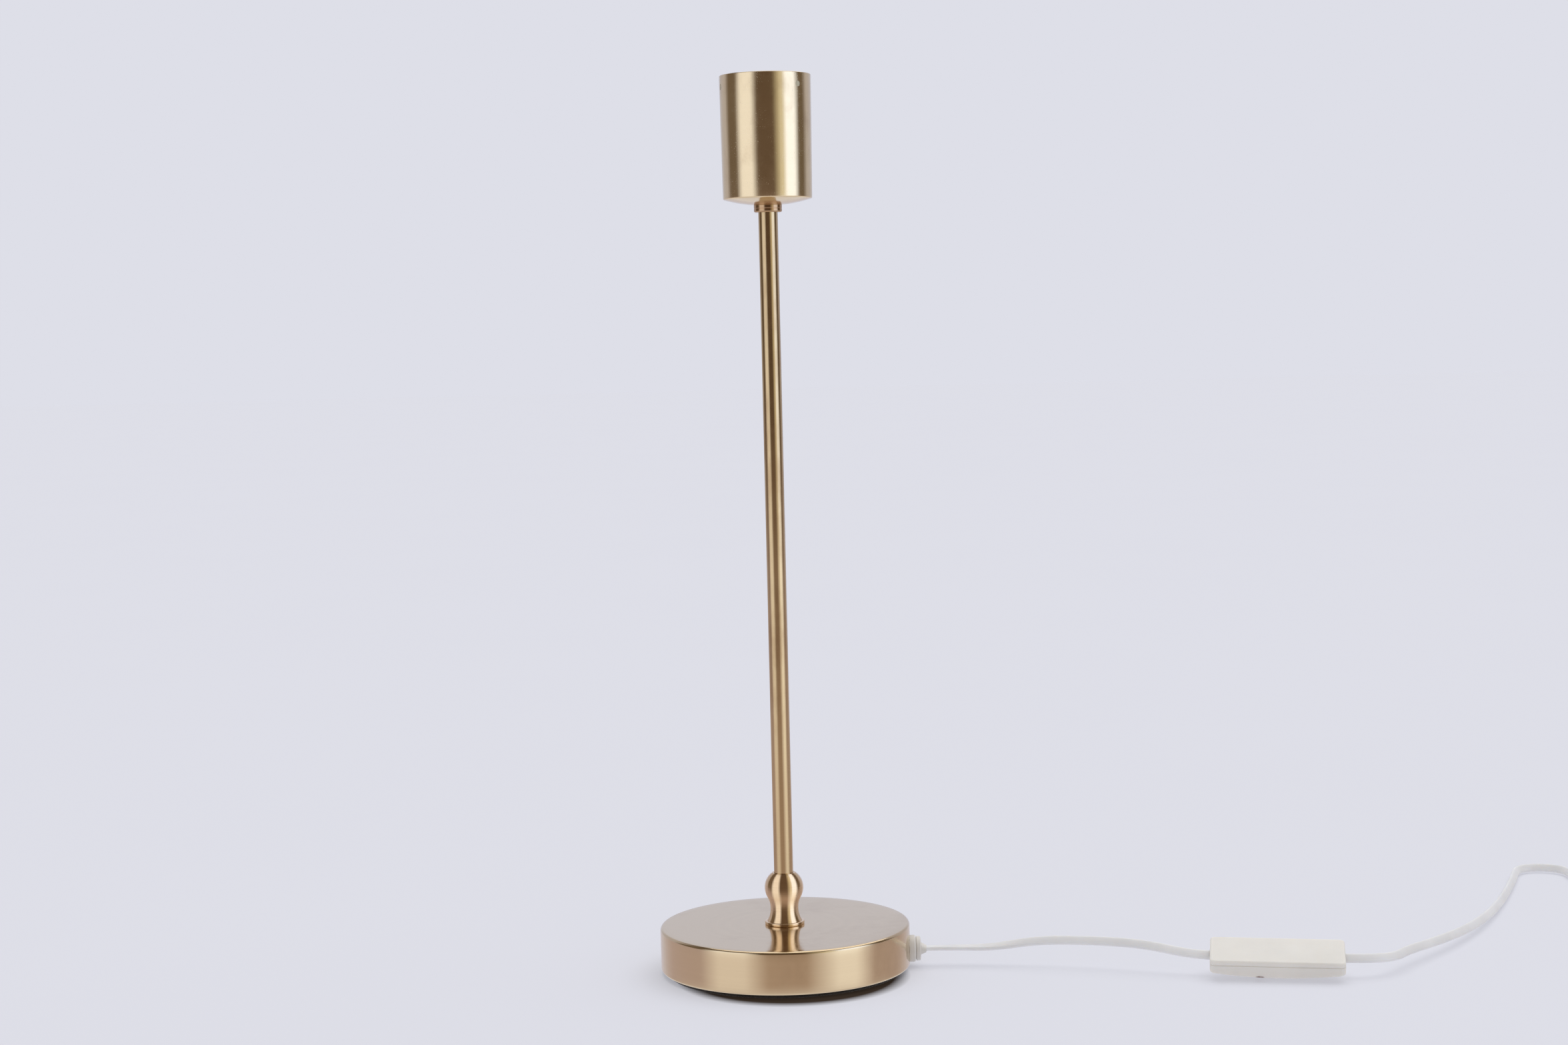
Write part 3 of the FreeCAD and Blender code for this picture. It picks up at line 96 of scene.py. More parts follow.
class StudioSettings(bpy.types.PropertyGroup):
    """Backdrop and lights"""

    backdrop: colour_choice("Backdrop", "Colour behind the lamp", (0.730, 0.737, 0.807))
    floor: colour_choice("Floor", "Colour of the table", (0.443, 0.446, 0.484))
    table_glow: number_choice("Table glow", "Light that comes up through the table", 0.72, min=0.0)
    sky_level: number_choice("Fill light", "Strength of the even light from all round", 0.55, min=0.0)
    lamp_level: number_choice("Top light", "Strength of the wide light from above", 1.25, min=0.0)


# Node trees


FLOAT = "NodeSocketFloat"
VECTOR = "NodeSocketVector"
# How far the lathe lines stray, in spacings
LINE_WAVER = 0.15


def join(tree, made, inputs):
    """Fills a node's inputs with values, or joins them to other nodes."""
    for name, value in inputs.items():
        socket = made.inputs[name]
        if isinstance(value, bpy.types.NodeSocket):
            tree.links.new(value, socket)
        elif socket.type == "RGBA":
            socket.default_value = (*value[:3], 1.0)
        else:
            socket.default_value = value


def node(tree, kind, inputs=None, **settings):
    """Adds a node, with its settings and its inputs."""
    made = tree.nodes.new(kind)
    for name, value in settings.items():
        setattr(made, name, value)
    join(tree, made, inputs or {})
    return made


def math_node(tree, operation, *values):
    """One step of arithmetic on values or sockets."""
    return node(tree, "ShaderNodeMath", dict(enumerate(values)), operation=operation).outputs[0]


def times(tree, first, second):
    """Product of two values."""
    return math_node(tree, "MULTIPLY", first, second)


def vector_node(tree, operation, *values):
    """One step of arithmetic on vectors."""
    made = node(tree, "ShaderNodeVectorMath", dict(enumerate(values)), operation=operation)
    return made.outputs["Value" if operation == "LENGTH" else "Vector"]


def noise(tree, inputs, dimensions="3D"):
    """Value of a noise texture."""
    return node(tree, "ShaderNodeTexNoise", inputs, noise_dimensions=dimensions).outputs[0]


def ramp(tree, factor, stops):
    """A colour ramp with stops of (place, colour)."""
    made = node(tree, "ShaderNodeValToRGB", {"Fac": factor})
    elements = made.color_ramp.elements
    while len(elements) < len(stops):
        elements.new(0.5)
    for element, (place, colour) in zip(elements, stops):
        element.position = place
        element.color = (*colour, 1.0)
    return made.outputs["Color"]


def stretch(tree, value, low, high, to_low=0.0, to_high=1.0, curve="LINEAR"):
    """Maps a value from one range to another, held at the ends."""
    ends = {"Value": value, "From Min": low, "From Max": high, "To Min": to_low, "To Max": to_high}
    return node(tree, "ShaderNodeMapRange", ends, clamp=True, interpolation_type=curve).outputs["Result"]


def blend_colours(tree, factor, first, second):
    """Mixes two colours by a factor."""
    return node(tree, "ShaderNodeMix", {0: factor, 6: first, 7: second}, data_type="RGBA").outputs[2]


def tint(colour, share):
    """A colour made darker or paler by a share."""
    return [min(1.0, part * share) for part in colour]


def group(name, inputs, outputs):
    """Empty shader group with named sockets; returns its tree, its inputs and its output node."""
    tree = bpy.data.node_groups.new(name, "ShaderNodeTree")
    for label, kind, default in inputs:
        socket = tree.interface.new_socket(label, in_out="INPUT", socket_type=kind)
        socket.default_value = default
    for label, kind in outputs:
        tree.interface.new_socket(label, in_out="OUTPUT", socket_type=kind)
    entry = tree.nodes.new("NodeGroupInput")
    leave = tree.nodes.new("NodeGroupOutput")
    return tree, entry.outputs, leave.inputs


def use_group(tree, name, inputs):
    """Places a group in a material with its own values."""
    made = tree.nodes.new("ShaderNodeGroup")
    made.node_tree = bpy.data.node_groups[name]
    join(tree, made, inputs)
    return made.outputs


def mask(tree, name, *values):
    """Mask of a group that takes its inputs in their order."""
    return use_group(tree, name, dict(enumerate(values)))["Mask"]


def object_place(tree):
    """The place on the object, in metres."""
    return node(tree, "ShaderNodeTexCoord").outputs["Object"]


def distance_from(tree, spot, shares):
    """How far a place lies from a spot, with each direction counted by its share."""
    off = vector_node(tree, "SUBTRACT", object_place(tree), spot)
    return vector_node(tree, "LENGTH", vector_node(tree, "MULTIPLY", off, shares))


def make_lathe_lines():
    """Fine rings round the upright axis, as a polishing wheel or a lathe tool leaves them."""
    tree, given, result = group(
        "lathe lines", [("Spacing", FLOAT, 0.0004)], [("Height", FLOAT), ("Shade", FLOAT)]
    )
    across, deep, high = node(tree, "ShaderNodeSeparateXYZ", {0: object_place(tree)}).outputs
    squares = [times(tree, part, part) for part in (across, deep)]
    radius = math_node(tree, "SQRT", math_node(tree, "ADD", *squares))
    along = math_node(tree, "ADD", radius, high)
    shift = noise(tree, {"Vector": object_place(tree), "Scale": 14.0, "Detail": 2.0})
    moved = math_node(
        tree, "ADD", math_node(tree, "DIVIDE", along, given["Spacing"]), times(tree, shift, LINE_WAVER)
    )
    lines = noise(tree, {"W": moved, "Scale": 1.0, "Detail": 3.0, "Roughness": 0.6}, "1D")
    broad = noise(tree, {"W": times(tree, moved, 0.09), "Scale": 1.0, "Detail": 2.0}, "1D")
    tree.links.new(lines, result["Height"])
    tree.links.new(times(tree, lines, broad), result["Shade"])


def make_patches():
    """Soft uneven patches, such as tarnish, rubbed lacquer or handling."""
    tree, given, result = group(
        "patches",
        [("Scale", FLOAT, 30.0), ("Low", FLOAT, 0.45), ("High", FLOAT, 0.65), ("Stretch", VECTOR, (1, 1, 1))],
        [("Mask", FLOAT)],
    )
    place = vector_node(tree, "MULTIPLY", object_place(tree), given["Stretch"])
    cloud = noise(tree, {"Vector": place, "Scale": given["Scale"], "Detail": 5.0, "Roughness": 0.62})
    tree.links.new(stretch(tree, cloud, given["Low"], given["High"], curve="SMOOTHSTEP"), result["Mask"])


def make_specks():
    """Small scattered specks of dust or pitting."""
    tree, given, result = group(
        "specks", [("Scale", FLOAT, 900.0), ("Size", FLOAT, 0.16), ("Amount", FLOAT, 0.5)], [("Mask", FLOAT)]
    )
    cells = node(tree, "ShaderNodeTexVoronoi", {"Vector": object_place(tree), "Scale": given["Scale"]})
    near = stretch(tree, cells.outputs["Distance"], given["Size"], 0.0)
    chosen = node(tree, "ShaderNodeSeparateColor", {0: cells.outputs["Color"]})
    kept = math_node(tree, "LESS_THAN", chosen.outputs[0], given["Amount"])
    tree.links.new(times(tree, near, kept), result["Mask"])


def make_grain():
    """The fine satin grain of a moulded or cast surface, and its cloudy tone."""
    tree, given, result = group("grain", [("Scale", FLOAT, 2500.0)], [("Height", FLOAT), ("Tone", FLOAT)])
    place = object_place(tree)
    fine = noise(tree, {"Vector": place, "Scale": given["Scale"], "Detail": 3.0, "Roughness": 0.7})
    tree.links.new(fine, result["Height"])
    tree.links.new(noise(tree, {"Vector": place, "Scale": 45.0, "Detail": 4.0}), result["Tone"])


def make_level_normal():
    """Normals of a finely grooved or drawn surface, which mirrors the room about level with itself."""
    tree, given, result = group(
        "level normal",
        [("Level", FLOAT, 1.0), ("Lift", FLOAT, 0.0), ("Turn", FLOAT, 0.0)],
        [("Normal", VECTOR)],
    )
    outward = node(tree, "ShaderNodeNewGeometry").outputs["Normal"]
    factors = node(tree, "ShaderNodeCombineXYZ", {0: 1.0, 1: 1.0, 2: given["Level"]}).outputs[0]
    raised = node(tree, "ShaderNodeCombineXYZ", {2: given["Lift"]}).outputs[0]
    levelled = vector_node(tree, "MULTIPLY_ADD", outward, factors, raised)
    turned = node(
        tree, "ShaderNodeVectorRotate", {"Vector": levelled, "Angle": given["Turn"]}, rotation_type="Z_AXIS"
    )
    tree.links.new(vector_node(tree, "NORMALIZE", turned.outputs[0]), result["Normal"])


def new_material(name):
    """Material with a Principled shader; returns the material, its tree and the shader."""
    material = bpy.data.materials.new(name)
    material.use_nodes = True
    tree = material.node_tree
    return material, tree, tree.nodes["Principled BSDF"]


def bump(tree, shader, height, strength, distance, normal=None):
    """Raises the surface by a height, on its own normals or on given ones."""
    made = node(tree, "ShaderNodeBump", {"Height": height, "Strength": strength, "Distance": distance})
    if normal is not None:
        tree.links.new(normal, made.inputs["Normal"])
    tree.links.new(made.outputs[0], shader.inputs["Normal"])


def brass(
    name, colour, roughness, lines=0.05, spacing=0.0004, rub=0.95, tarnish=0.25, patch=26.0, specks=0.0,
    drawn=0.0, brushed=0.0, lacquer=0.0, level=1.0, lift=0.0, turn=0.0,
):
    """Lacquered brass with lathe lines and tarnish.

    specks dusts it, drawn streaks it and brushed stretches its gloss. level, lift and turn bend the normals:
    a turned piece mirrors the room about level with it, and a drawn tube a little to one side.
    """
    finishes = bpy.context.scene.lamp_finishes
    material, tree, shader = new_material(name)
    join(tree, shader, {"Metallic": 1.0, "Coat Weight": lacquer, "Coat Roughness": 0.06 + 0.05 * lacquer})
    if brushed:
        round_way = node(tree, "ShaderNodeTangent", direction_type="RADIAL", axis="Z").outputs[0]
        join(tree, shader, {"Anisotropic": brushed, "Anisotropic Rotation": 0.25, "Tangent": round_way})
    ring = use_group(tree, "lathe lines", {"Spacing": spacing})
    patchy = mask(tree, "patches", patch, 0.5, 0.78, (1.0, 1.0, 0.6))
    fine = mask(tree, "patches", 160.0, 0.35, 0.75)
    base = blend_colours(tree, stretch(tree, ring["Shade"], 0.1, 0.5), tint(colour, rub), colour)
    stained = times(tree, patchy, tarnish)
    if drawn:
        streaks = mask(tree, "patches", 34.0, 0.46, 0.66, (1.5, 1.5, 0.4))
        stained = math_node(tree, "MAXIMUM", stained, times(tree, streaks, drawn))
    tone = blend_colours(tree, stained, base, list(finishes.tarnish))
    rough = stretch(tree, fine, 0.0, 1.0, roughness * 0.85, roughness * 1.15)
    rough = math_node(tree, "ADD", rough, times(tree, stained, 0.16))
    if specks:
        dots = mask(tree, "specks", 950.0, 0.26, 0.85)
        swarms = mask(tree, "patches", 90.0, 0.42, 0.58)
        dusty = times(tree, times(tree, dots, swarms), specks)
        tone = blend_colours(tree, dusty, tone, (0.80, 0.70, 0.50))
        rough = math_node(tree, "ADD", rough, times(tree, dusty, 0.5))
    join(tree, shader, {"Base Color": tone, "Roughness": rough})
    bent = use_group(tree, "level normal", {"Level": level, "Lift": lift, "Turn": math.radians(turn)})
    bump(tree, shader, ring["Height"], lines, 0.00003, bent["Normal"])
    return material


def moulded(name, colour, roughness, scale, height, mottle=0.05, glow=0.0):
    """Moulded plastic with a satin grain, a little uneven in tone; glow lets light through it, and also makes
    it glow faintly as painted light on its shaded sides.
    """
    material, tree, shader = new_material(name)
    grain = use_group(tree, "grain", {"Scale": scale})
    handled = mask(tree, "patches", 38.0, 0.45, 0.8)
    dust = mask(tree, "specks", 700.0, 0.1, 0.1)
    tone = blend_colours(
        tree, stretch(tree, grain["Tone"], 0.3, 0.7), tint(colour, 1 - mottle), tint(colour, 1 + mottle)
    )
    for spots, share, dark in ((handled, 0.18, 0.88), (dust, 0.3, 0.6)):
        tone = blend_colours(tree, times(tree, spots, share), tone, tint(colour, dark))
    inputs = {
        "Base Color": tone,
        "Roughness": stretch(tree, grain["Height"], 0.2, 0.8, roughness * 0.85, roughness * 1.2),
        "Subsurface Weight": glow,
        "Subsurface Radius": (1.0, 0.85, 0.7),
        "Subsurface Scale": 0.004,
        "Emission Color": tone,
        # painted light: a faint glow keeps the plastic's shaded sides light
        "Emission Strength": glow * 0.2,
    }
    join(tree, shader, inputs)
    bump(tree, shader, grain["Height"], height, 0.00005)
    return material


def plain_metal(name, colour, roughness, scale, wear, metallic=1.0, height=0.1):
    """Plated, rolled or cast metal with uneven tone and fine pitting."""
    material, tree, shader = new_material(name)
    grain = use_group(tree, "grain", {"Scale": scale})
    worn = mask(tree, "patches", 70.0, 0.4, 0.7)
    pits = mask(tree, "specks", 1400.0, 0.2, 0.2)
    tone = blend_colours(tree, times(tree, worn, wear), colour, tint(colour, 1 - 0.4 * wear))
    tone = blend_colours(tree, times(tree, pits, 0.5), tone, tint(colour, 0.5))
    rough = stretch(tree, worn, 0.0, 1.0, roughness * 0.8, min(1.0, roughness * 1.3))
    join(tree, shader, {"Metallic": metallic, "Base Color": tone, "Roughness": rough})
    bump(tree, shader, grain["Height"], height, 0.00008)
    return material


def felt(name, colour):
    """Pressed felt, with matted fibres."""
    material, tree, shader = new_material(name)
    grain = use_group(tree, "grain", {"Scale": 1100.0})
    fibres = mask(tree, "patches", 420.0, 0.3, 0.7, (1.0, 2.2, 1.0))
    tone = blend_colours(tree, fibres, tint(colour, 0.7), tint(colour, 1.25))
    rough = stretch(tree, grain["Height"], 0.2, 0.8, 0.85, 1.0)
    join(tree, shader, {"Base Color": tone, "Roughness": rough, "Sheen Weight": 0.3})
    bump(tree, shader, fibres, 0.6, 0.0003)
    return material


# Mesh making


def new_object(name, data):
    """Object that is linked to the scene."""
    made = bpy.data.objects.new(name, data)
    bpy.context.scene.collection.objects.link(made)
    return made


def place_piece(name, mesh, materials, nodes=()):
    """Puts a mesh in the scene, with its materials and the nodes that it stands for."""
    piece = new_object(name, mesh)
    for material in materials:
        mesh.materials.append(material)
    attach(piece, "lamp")
    if nodes:
        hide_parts(*nodes)
    return piece


def smooth(mesh, degrees):
    """Smooth shading, with the edges left sharp that turn by more than so many degrees."""
    mesh.polygons.foreach_set("use_smooth", [True] * len(mesh.polygons))
    mesh.set_sharp_from_angle(angle=math.radians(degrees))
    mesh.update()


def finished(shape, name, degrees=SHARP_TURN):
    """Mesh of a shape, with its faces turned outwards."""
    mesh = bpy.data.meshes.new(name)
    bmesh.ops.recalc_face_normals(shape, faces=shape.faces)
    shape.to_mesh(mesh)
    shape.free()
    smooth(mesh, degrees)
    return mesh


def on_circle(radius, angle, middle=(0.0, 0.0)):
    """Place at an angle on a circle."""
    return middle[0] + radius * math.cos(angle), middle[1] + radius * math.sin(angle)


def bridge(shape, here, there):
    """Closes the band between two rings of as many points."""
    for index in range(len(here)):
        following = (index + 1) % len(here)
        shape.faces.new((here[index], here[following], there[following], there[index]))


def bridge_all(shape, rings):
    """Closes the bands between rings that follow each other."""
    for here, there in zip(rings[:-1], rings[1:]):
        bridge(shape, here, there)


def bow(start, end, share, steps):
    """Places on an arc from start to end; its height over half its chord is the share, left of its way."""
    chord = (end[0] - start[0], end[1] - start[1])
    half = math.hypot(*chord) / 2
    rise = share * half
    radius = (half * half + rise * rise) / (2 * abs(rise))
    side = (-chord[1] / (2 * half), chord[0] / (2 * half))
    back = math.copysign(radius - abs(rise), rise)
    centre = [(start[part] + end[part]) / 2 - side[part] * back for part in (0, 1)]
    first = math.atan2(start[1] - centre[1], start[0] - centre[0])
    last = math.atan2(end[1] - centre[1], end[0] - centre[0])
    turn = (last - first + math.pi) % math.tau - math.pi
    angles = [first + turn * step / steps for step in range(steps + 1)]
    return [on_circle(radius, angle, centre) for angle in angles]


def rounded(corner_r, corner_z, cut, turn, steps):
    """Quarter round at an outline's corner; turn gives the two directions that it joins."""
    (from_r, from_z), (to_r, to_z) = turn
    centre = (corner_r + (from_r + to_r) * cut, corner_z + (from_z + to_z) * cut)
    places = []
    for step in range(steps + 1):
        run, rise = on_circle(cut, math.pi / 2 * step / steps)
        places.append((centre[0] - from_r * rise - to_r * run, centre[1] - from_z * rise - to_z * run))
    return places


# The corners of an outline that runs up on its outside: top and bottom of a rim
TOP_IN = ((0, -1), (-1, 0))
BOTTOM_OUT = ((-1, 0), (0, 1))


def outline(*parts):
    """Joins points and arcs to one outline, without doubled points."""
    places = []
    for part in parts:
        for spot in part if isinstance(part, list) else [part]:
            if not places or math.dist(places[-1], spot) > 1e-4:
                places.append(spot)
    return places


def lathe(name, profile, closed=True, steps=ROUND_STEPS, shine=None, axis=None, offset=(0.0, 0.0, 0.0)):
    """Turns an outline of (radius, height) in millimetres round the upright axis.

    shine picks the material index of each band from its middle; axis lays the turned piece along
    another direction, from a point given in millimetres.
    """
    shape = bmesh.new()
    rings = []
    for radius, height in profile:
        turns = [math.tau * step / steps for step in range(steps)] if radius > 1e-6 else [0.0]
        rings.append([shape.verts.new((*on_circle(radius * MM, turn), height * MM)) for turn in turns])
    pairs = list(zip(range(len(rings)), range(1, len(rings))))
    if closed:
        pairs.append((len(rings) - 1, 0))
    for low, high in pairs:
        below, above = rings[low], rings[high]
        if len(below) == len(above) == 1:
            continue
        made = len(shape.faces)
        if len(below) > 1 and len(above) > 1:
            bridge(shape, below, above)
        else:
            rim, tip = (below, above[0]) if len(above) == 1 else (above, below[0])
            for step in range(steps):
                corners = (rim[step], rim[(step + 1) % steps], tip)
                shape.faces.new(corners if rim is below else corners[::-1])
        if shine:
            shape.faces.ensure_lookup_table()
            middle = [(profile[low][part] + profile[high][part]) / 2 for part in (0, 1)]
            for face in shape.faces[made:]:
                face.material_index = shine(*middle)
    if axis is not None:
        turned = Vector((0, 0, 1)).rotation_difference(Vector(axis)).to_matrix().to_4x4()
        bmesh.ops.transform(shape, matrix=Matrix.Translation(Vector(offset) * MM) @ turned, verts=shape.verts)
    return finished(shape, name)


def rounded_box(name, length, width, corner, rings, steps=8):
    """Closed shell of rounded rectangles; each ring is an inset and a height in millimetres."""
    shape = bmesh.new()
    loops = []
    for inset, height in rings:
        bend = max(corner - inset, 0.3)
        loop = []
        for quarter, (along, across) in enumerate(((1, 1), (-1, 1), (-1, -1), (1, -1))):
            middle = (along * (length / 2 - inset - bend), across * (width / 2 - inset - bend))
            for step in range(steps + 1):
                angle = math.pi / 2 * (quarter + step / steps)
                loop.append(shape.verts.new(Vector((*on_circle(bend, angle, middle), height)) * MM))
        loops.append(loop)
    bridge_all(shape, loops)
    shape.faces.new(loops[0])
    shape.faces.new(loops[-1])
    return finished(shape, name)


def turned_piece(name, profile, materials, slot, nodes=(), **how):
    """Turns a piece and puts it in the scene."""
    return place_piece(name, lathe(name, profile, **how), materials, nodes)


def drilled(mesh, cutters):
    """The mesh with round holes cut through it; a cutter is a start, an end and a radius in millimetres."""
    host = new_object("drilled", mesh)
    tools = []
    for start, end, radius in cutters:
        start, end = Vector(start), Vector(end)
        length = (end - start).length
        outer = [(0.0, 0.0), (radius, 0.0), (radius, length), (0.0, length)]
        rod = lathe("drill", outer, closed=False, steps=48, axis=(end - start).normalized(), offset=start)
        tools.append(new_object("drill", rod))
        cut = host.modifiers.new("cut", "BOOLEAN")
        cut.operation = "DIFFERENCE"
        cut.solver = "EXACT"
        cut.object = tools[-1]
    bpy.context.view_layer.update()
    seen = host.evaluated_get(bpy.context.evaluated_depsgraph_get())
    made = bpy.data.meshes.new_from_object(seen)
    made.name = mesh.name + "_drilled"
    for used in (*tools, host):
        bpy.data.objects.remove(used)
    smooth(made, SHARP_TURN)
    made.materials.clear()
    return made


def finish_nodes(material, *names):
    """Gives carried-over nodes their material."""
    for name in names:
        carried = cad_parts[name]
        if not carried.material_slots:
            carried.data.materials.append(material)
        for holder in carried.material_slots:
            holder.material = material


# Camera


# Place of the camera in metres, and its tilt, roll and turn in radians, as fitted to the photograph
EYE_PLACE = (0.0, -1.3545, 0.3326)
EYE_DOWN, EYE_ROLL, EYE_TURN = 0.0727, 0.0235, -0.0033
LENS = 60.33
SENSOR = 36.0


class LAMP_OT_camera(bpy.types.Operator):
    """Sets the camera where the photograph was taken from"""

    bl_idname = "lamp.camera"
    bl_label = "Camera"

    def execute(self, context):
        eye = bpy.data.cameras.new("lamp_camera")
        eye.sensor_fit = "HORIZONTAL"
        eye.sensor_width = SENSOR
        eye.lens = LENS
        eye.clip_start = 0.05
        eye.clip_end = 60.0
        held = Matrix.Translation(EYE_PLACE)
        for angle, axis in ((EYE_TURN, "Z"), (math.pi / 2 - EYE_DOWN, "X"), (-EYE_ROLL, "Z")):
            held = held @ Matrix.Rotation(angle, 4, axis)
        seat = new_object("lamp_camera", eye)
        seat.matrix_world = held
        context.scene.camera = seat
        return {"FINISHED"}


# Cords


# Control points of the two lengths of cord, in millimetres
NEAR_ROUTE = [
    (63.8, 0.0, 9.0), (86.0, 0.0, 9.0), (108.0, -3.0, 9.2), (132.0, -8.0, 13.8), (160.0, -16.0, 14.6),
    (184.0, -26.0, 14.6), (207.44, -34.65, 10.47), (219.26, -36.73, 10.39),
]
FAR_ROUTE = [
    (279.53, -47.36, 9.96), (291.35, -49.44, 9.88), (309.0, -43.0, 8.8), (319.0, -27.0, 8.2),
    (335.0, -9.0, 7.2), (353.0, 13.0, 6.0), (368.0, 35.0, 5.0), (381.0, 57.0, 4.2), (394.0, 83.0, 3.5),
    (406.0, 110.0, 3.0), (417.0, 137.0, 2.7), (428.5, 167.0, 2.6), (435.9, 188.3, 2.6), (446.2, 193.9, 2.6),
    (457.5, 191.4, 2.6), (464.4, 182.0, 2.6), (462.8, 164.1, 2.6), (469.2, 151.6, 2.6), (481.2, 144.4, 2.6),
    (500.0, 141.2, 2.6), (517.0, 141.0, 2.6), (527.0, 141.0, 2.6),
]
PLUG_ROUTE = [(571.75, 179.0, 6.95), (571.75, 187.0, 6.95)]

# The coil: its turns inwards on the table, up to the second layer and outwards on top
COIL_MIDDLE = (532.0, 178.0)
COIL_POINTS = 16
INWARD_TURNS, CLIMB_TURNS, OUTWARD_TURNS = 3.0, 0.5, 2.75
COIL_RADIUS, COIL_LEVEL = 37.0, 2.6
COIL_STEP, TOP_STEP = 5.5, 7.0
LAST_TURNS, LAST_DROP = 0.25, 1.15

# Lean of the flat cord in degrees: at its start, further on, and over which metres it changes
NEAR_LEAN = (0.0, 55.0, 0.012, 0.07)
FAR_LEAN = (55.0, 90.0, 0.30, 0.12)
PLUG_STRAIGHT, PLUG_EASE = 0.006, 0.045


def coil_spot(turns):
    """Radius and height of the coil after so many turns: in along the table, up, and out on top."""
    if turns <= INWARD_TURNS:
        return COIL_RADIUS - COIL_STEP * turns, COIL_LEVEL
    inner = COIL_RADIUS - COIL_STEP * INWARD_TURNS
    since = turns - INWARD_TURNS - CLIMB_TURNS
    if since <= 0:
        part = 1 + since / CLIMB_TURNS
        dip = COIL_STEP * CLIMB_TURNS / math.pi * math.sin(math.pi * part)
        return inner - dip, COIL_LEVEL + COIL_STEP * part
    drop = LAST_DROP * max(0.0, 1 - (OUTWARD_TURNS - since) / LAST_TURNS)
    return inner + TOP_STEP * since, COIL_LEVEL + COIL_STEP - drop


def coil_route():
    """Control points of the coil, a little outside of its turns because the line cuts inside them."""
    spread = 1 / math.cos(math.pi / COIL_POINTS)
    route = []
    for index in range(int((INWARD_TURNS + CLIMB_TURNS + OUTWARD_TURNS) * COIL_POINTS)):
        turns = (index + 0.5) / COIL_POINTS
        radius, height = coil_spot(turns)
        angle = math.tau * turns - math.pi / 2
        route.append((*on_circle(radius * spread, angle, COIL_MIDDLE), height))
    return route


def smooth_line(name, route, steps):
    """Places along the smooth line that a route's points control, in metres."""
    curve = bpy.data.curves.new(name, "CURVE")
    curve.dimensions = "3D"
    spline = curve.splines.new("NURBS")
    spline.points.add(len(route) - 1)
    for held, place in zip(spline.points, route):
        held.co = (*(part * MM for part in place), 1.0)
    spline.order_u = 3
    spline.use_endpoint_u = True
    spline.resolution_u = steps
    holder = bpy.data.objects.new(name, curve)
    line = bpy.data.meshes.new_from_object(holder)
    places = [spot.co.copy() for spot in line.vertices]
    bpy.data.objects.remove(holder)
    bpy.data.meshes.remove(line)
    return places


def near_line():
    """The smooth line of the cord from the foot to the switch."""
    return smooth_line("near_line", NEAR_ROUTE, 12)


def flat_section(sizes, points=14, reach=78):
    """Outline of a flat two-core cord, wide along its first axis, with a shallow waist."""
    lobe, offset = sizes.lobe_radius, sizes.lobe_offset
    section = []
    for side in (1, -1):
        for index in range(points + 1):
            angle = math.radians(-reach + 2 * reach * index / points)
            section.append((side * (offset + lobe * math.cos(angle)), side * lobe * math.sin(angle)))
    return section


def eased(metres, length):
    """Share from nought to one over a length, with a soft start and end."""
    share = min(max(metres / length, 0.0), 1.0)
    return share * share * (3 - 2 * share)


def cord_mesh(name, line, sizes, lean, to_plug=False):
    """Sweeps the flat cord along a line, leaning as told, and flat again before a plug."""
    first, last, start, length = lean
    section = flat_section(sizes)
    shape = bmesh.new()
    rings = []
    gone = 0.0
    total = sum((after - before).length for before, after in zip(line[:-1], line[1:]))
    for index, place in enumerate(line):
        before = line[max(index - 1, 0)]
        after = line[min(index + 1, len(line) - 1)]
        ahead = (after - before).normalized()
        side = Vector((0, 0, 1)).cross(ahead).normalized()
        over = ahead.cross(side)
        turn = math.radians(first + (last - first) * eased(gone - start, length))
        if to_plug:
            turn *= eased(total - gone - PLUG_STRAIGHT, PLUG_EASE)
        wide = side * math.cos(turn) + over * math.sin(turn)
        thin = over * math.cos(turn) - side * math.sin(turn)
        rings.append([shape.verts.new(place + wide * u + thin * v) for u, v in section])
        gone += (after - place).length
    bridge_all(shape, rings)
    shape.faces.new(rings[0][::-1])
    shape.faces.new(rings[-1])
    return finished(shape, name, 40.0)


class LAMP_OT_cords(bpy.types.Operator):
    """Lays the flat cord from the foot to the switch and on to the coil and the plug"""

    bl_idname = "lamp.cords"
    bl_label = "Cord"

    def execute(self, context):
        sizes = context.scene.cord_finishes
        # the sheath's glow is partly painted light that lightens the cord's face
        sheath = [moulded("cord sheath", sizes.cord_white, 0.38, 1800.0, 0.06, glow=0.3)]
        near = cord_mesh("cord_near", near_line(), sizes, NEAR_LEAN)
        place_piece("cord_near", near, sheath, ["cord_to_switch"])
        far_line = smooth_line("far_line", FAR_ROUTE + coil_route() + PLUG_ROUTE, 8)
        far = cord_mesh("cord_far", far_line, sizes, FAR_LEAN, to_plug=True)
        place_piece("cord_far", far, sheath, ["cord_to_coil", "cord_coil"])
        return {"FINISHED"}


# Foot


FOOT_RADIUS, FOOT_HEIGHT = 65.0, 24.0
TOP_ROUND, BOTTOM_ROUND = 1.4, 1.1
PAD_RADIUS, PAD_HEIGHT = 61.8, 2.0
# Hole for the cord in the foot's wall: its start, end and radius
CORD_HOLE = ((55.0, 0.0, 9.0), (70.0, 0.0, 9.0), 4.9)


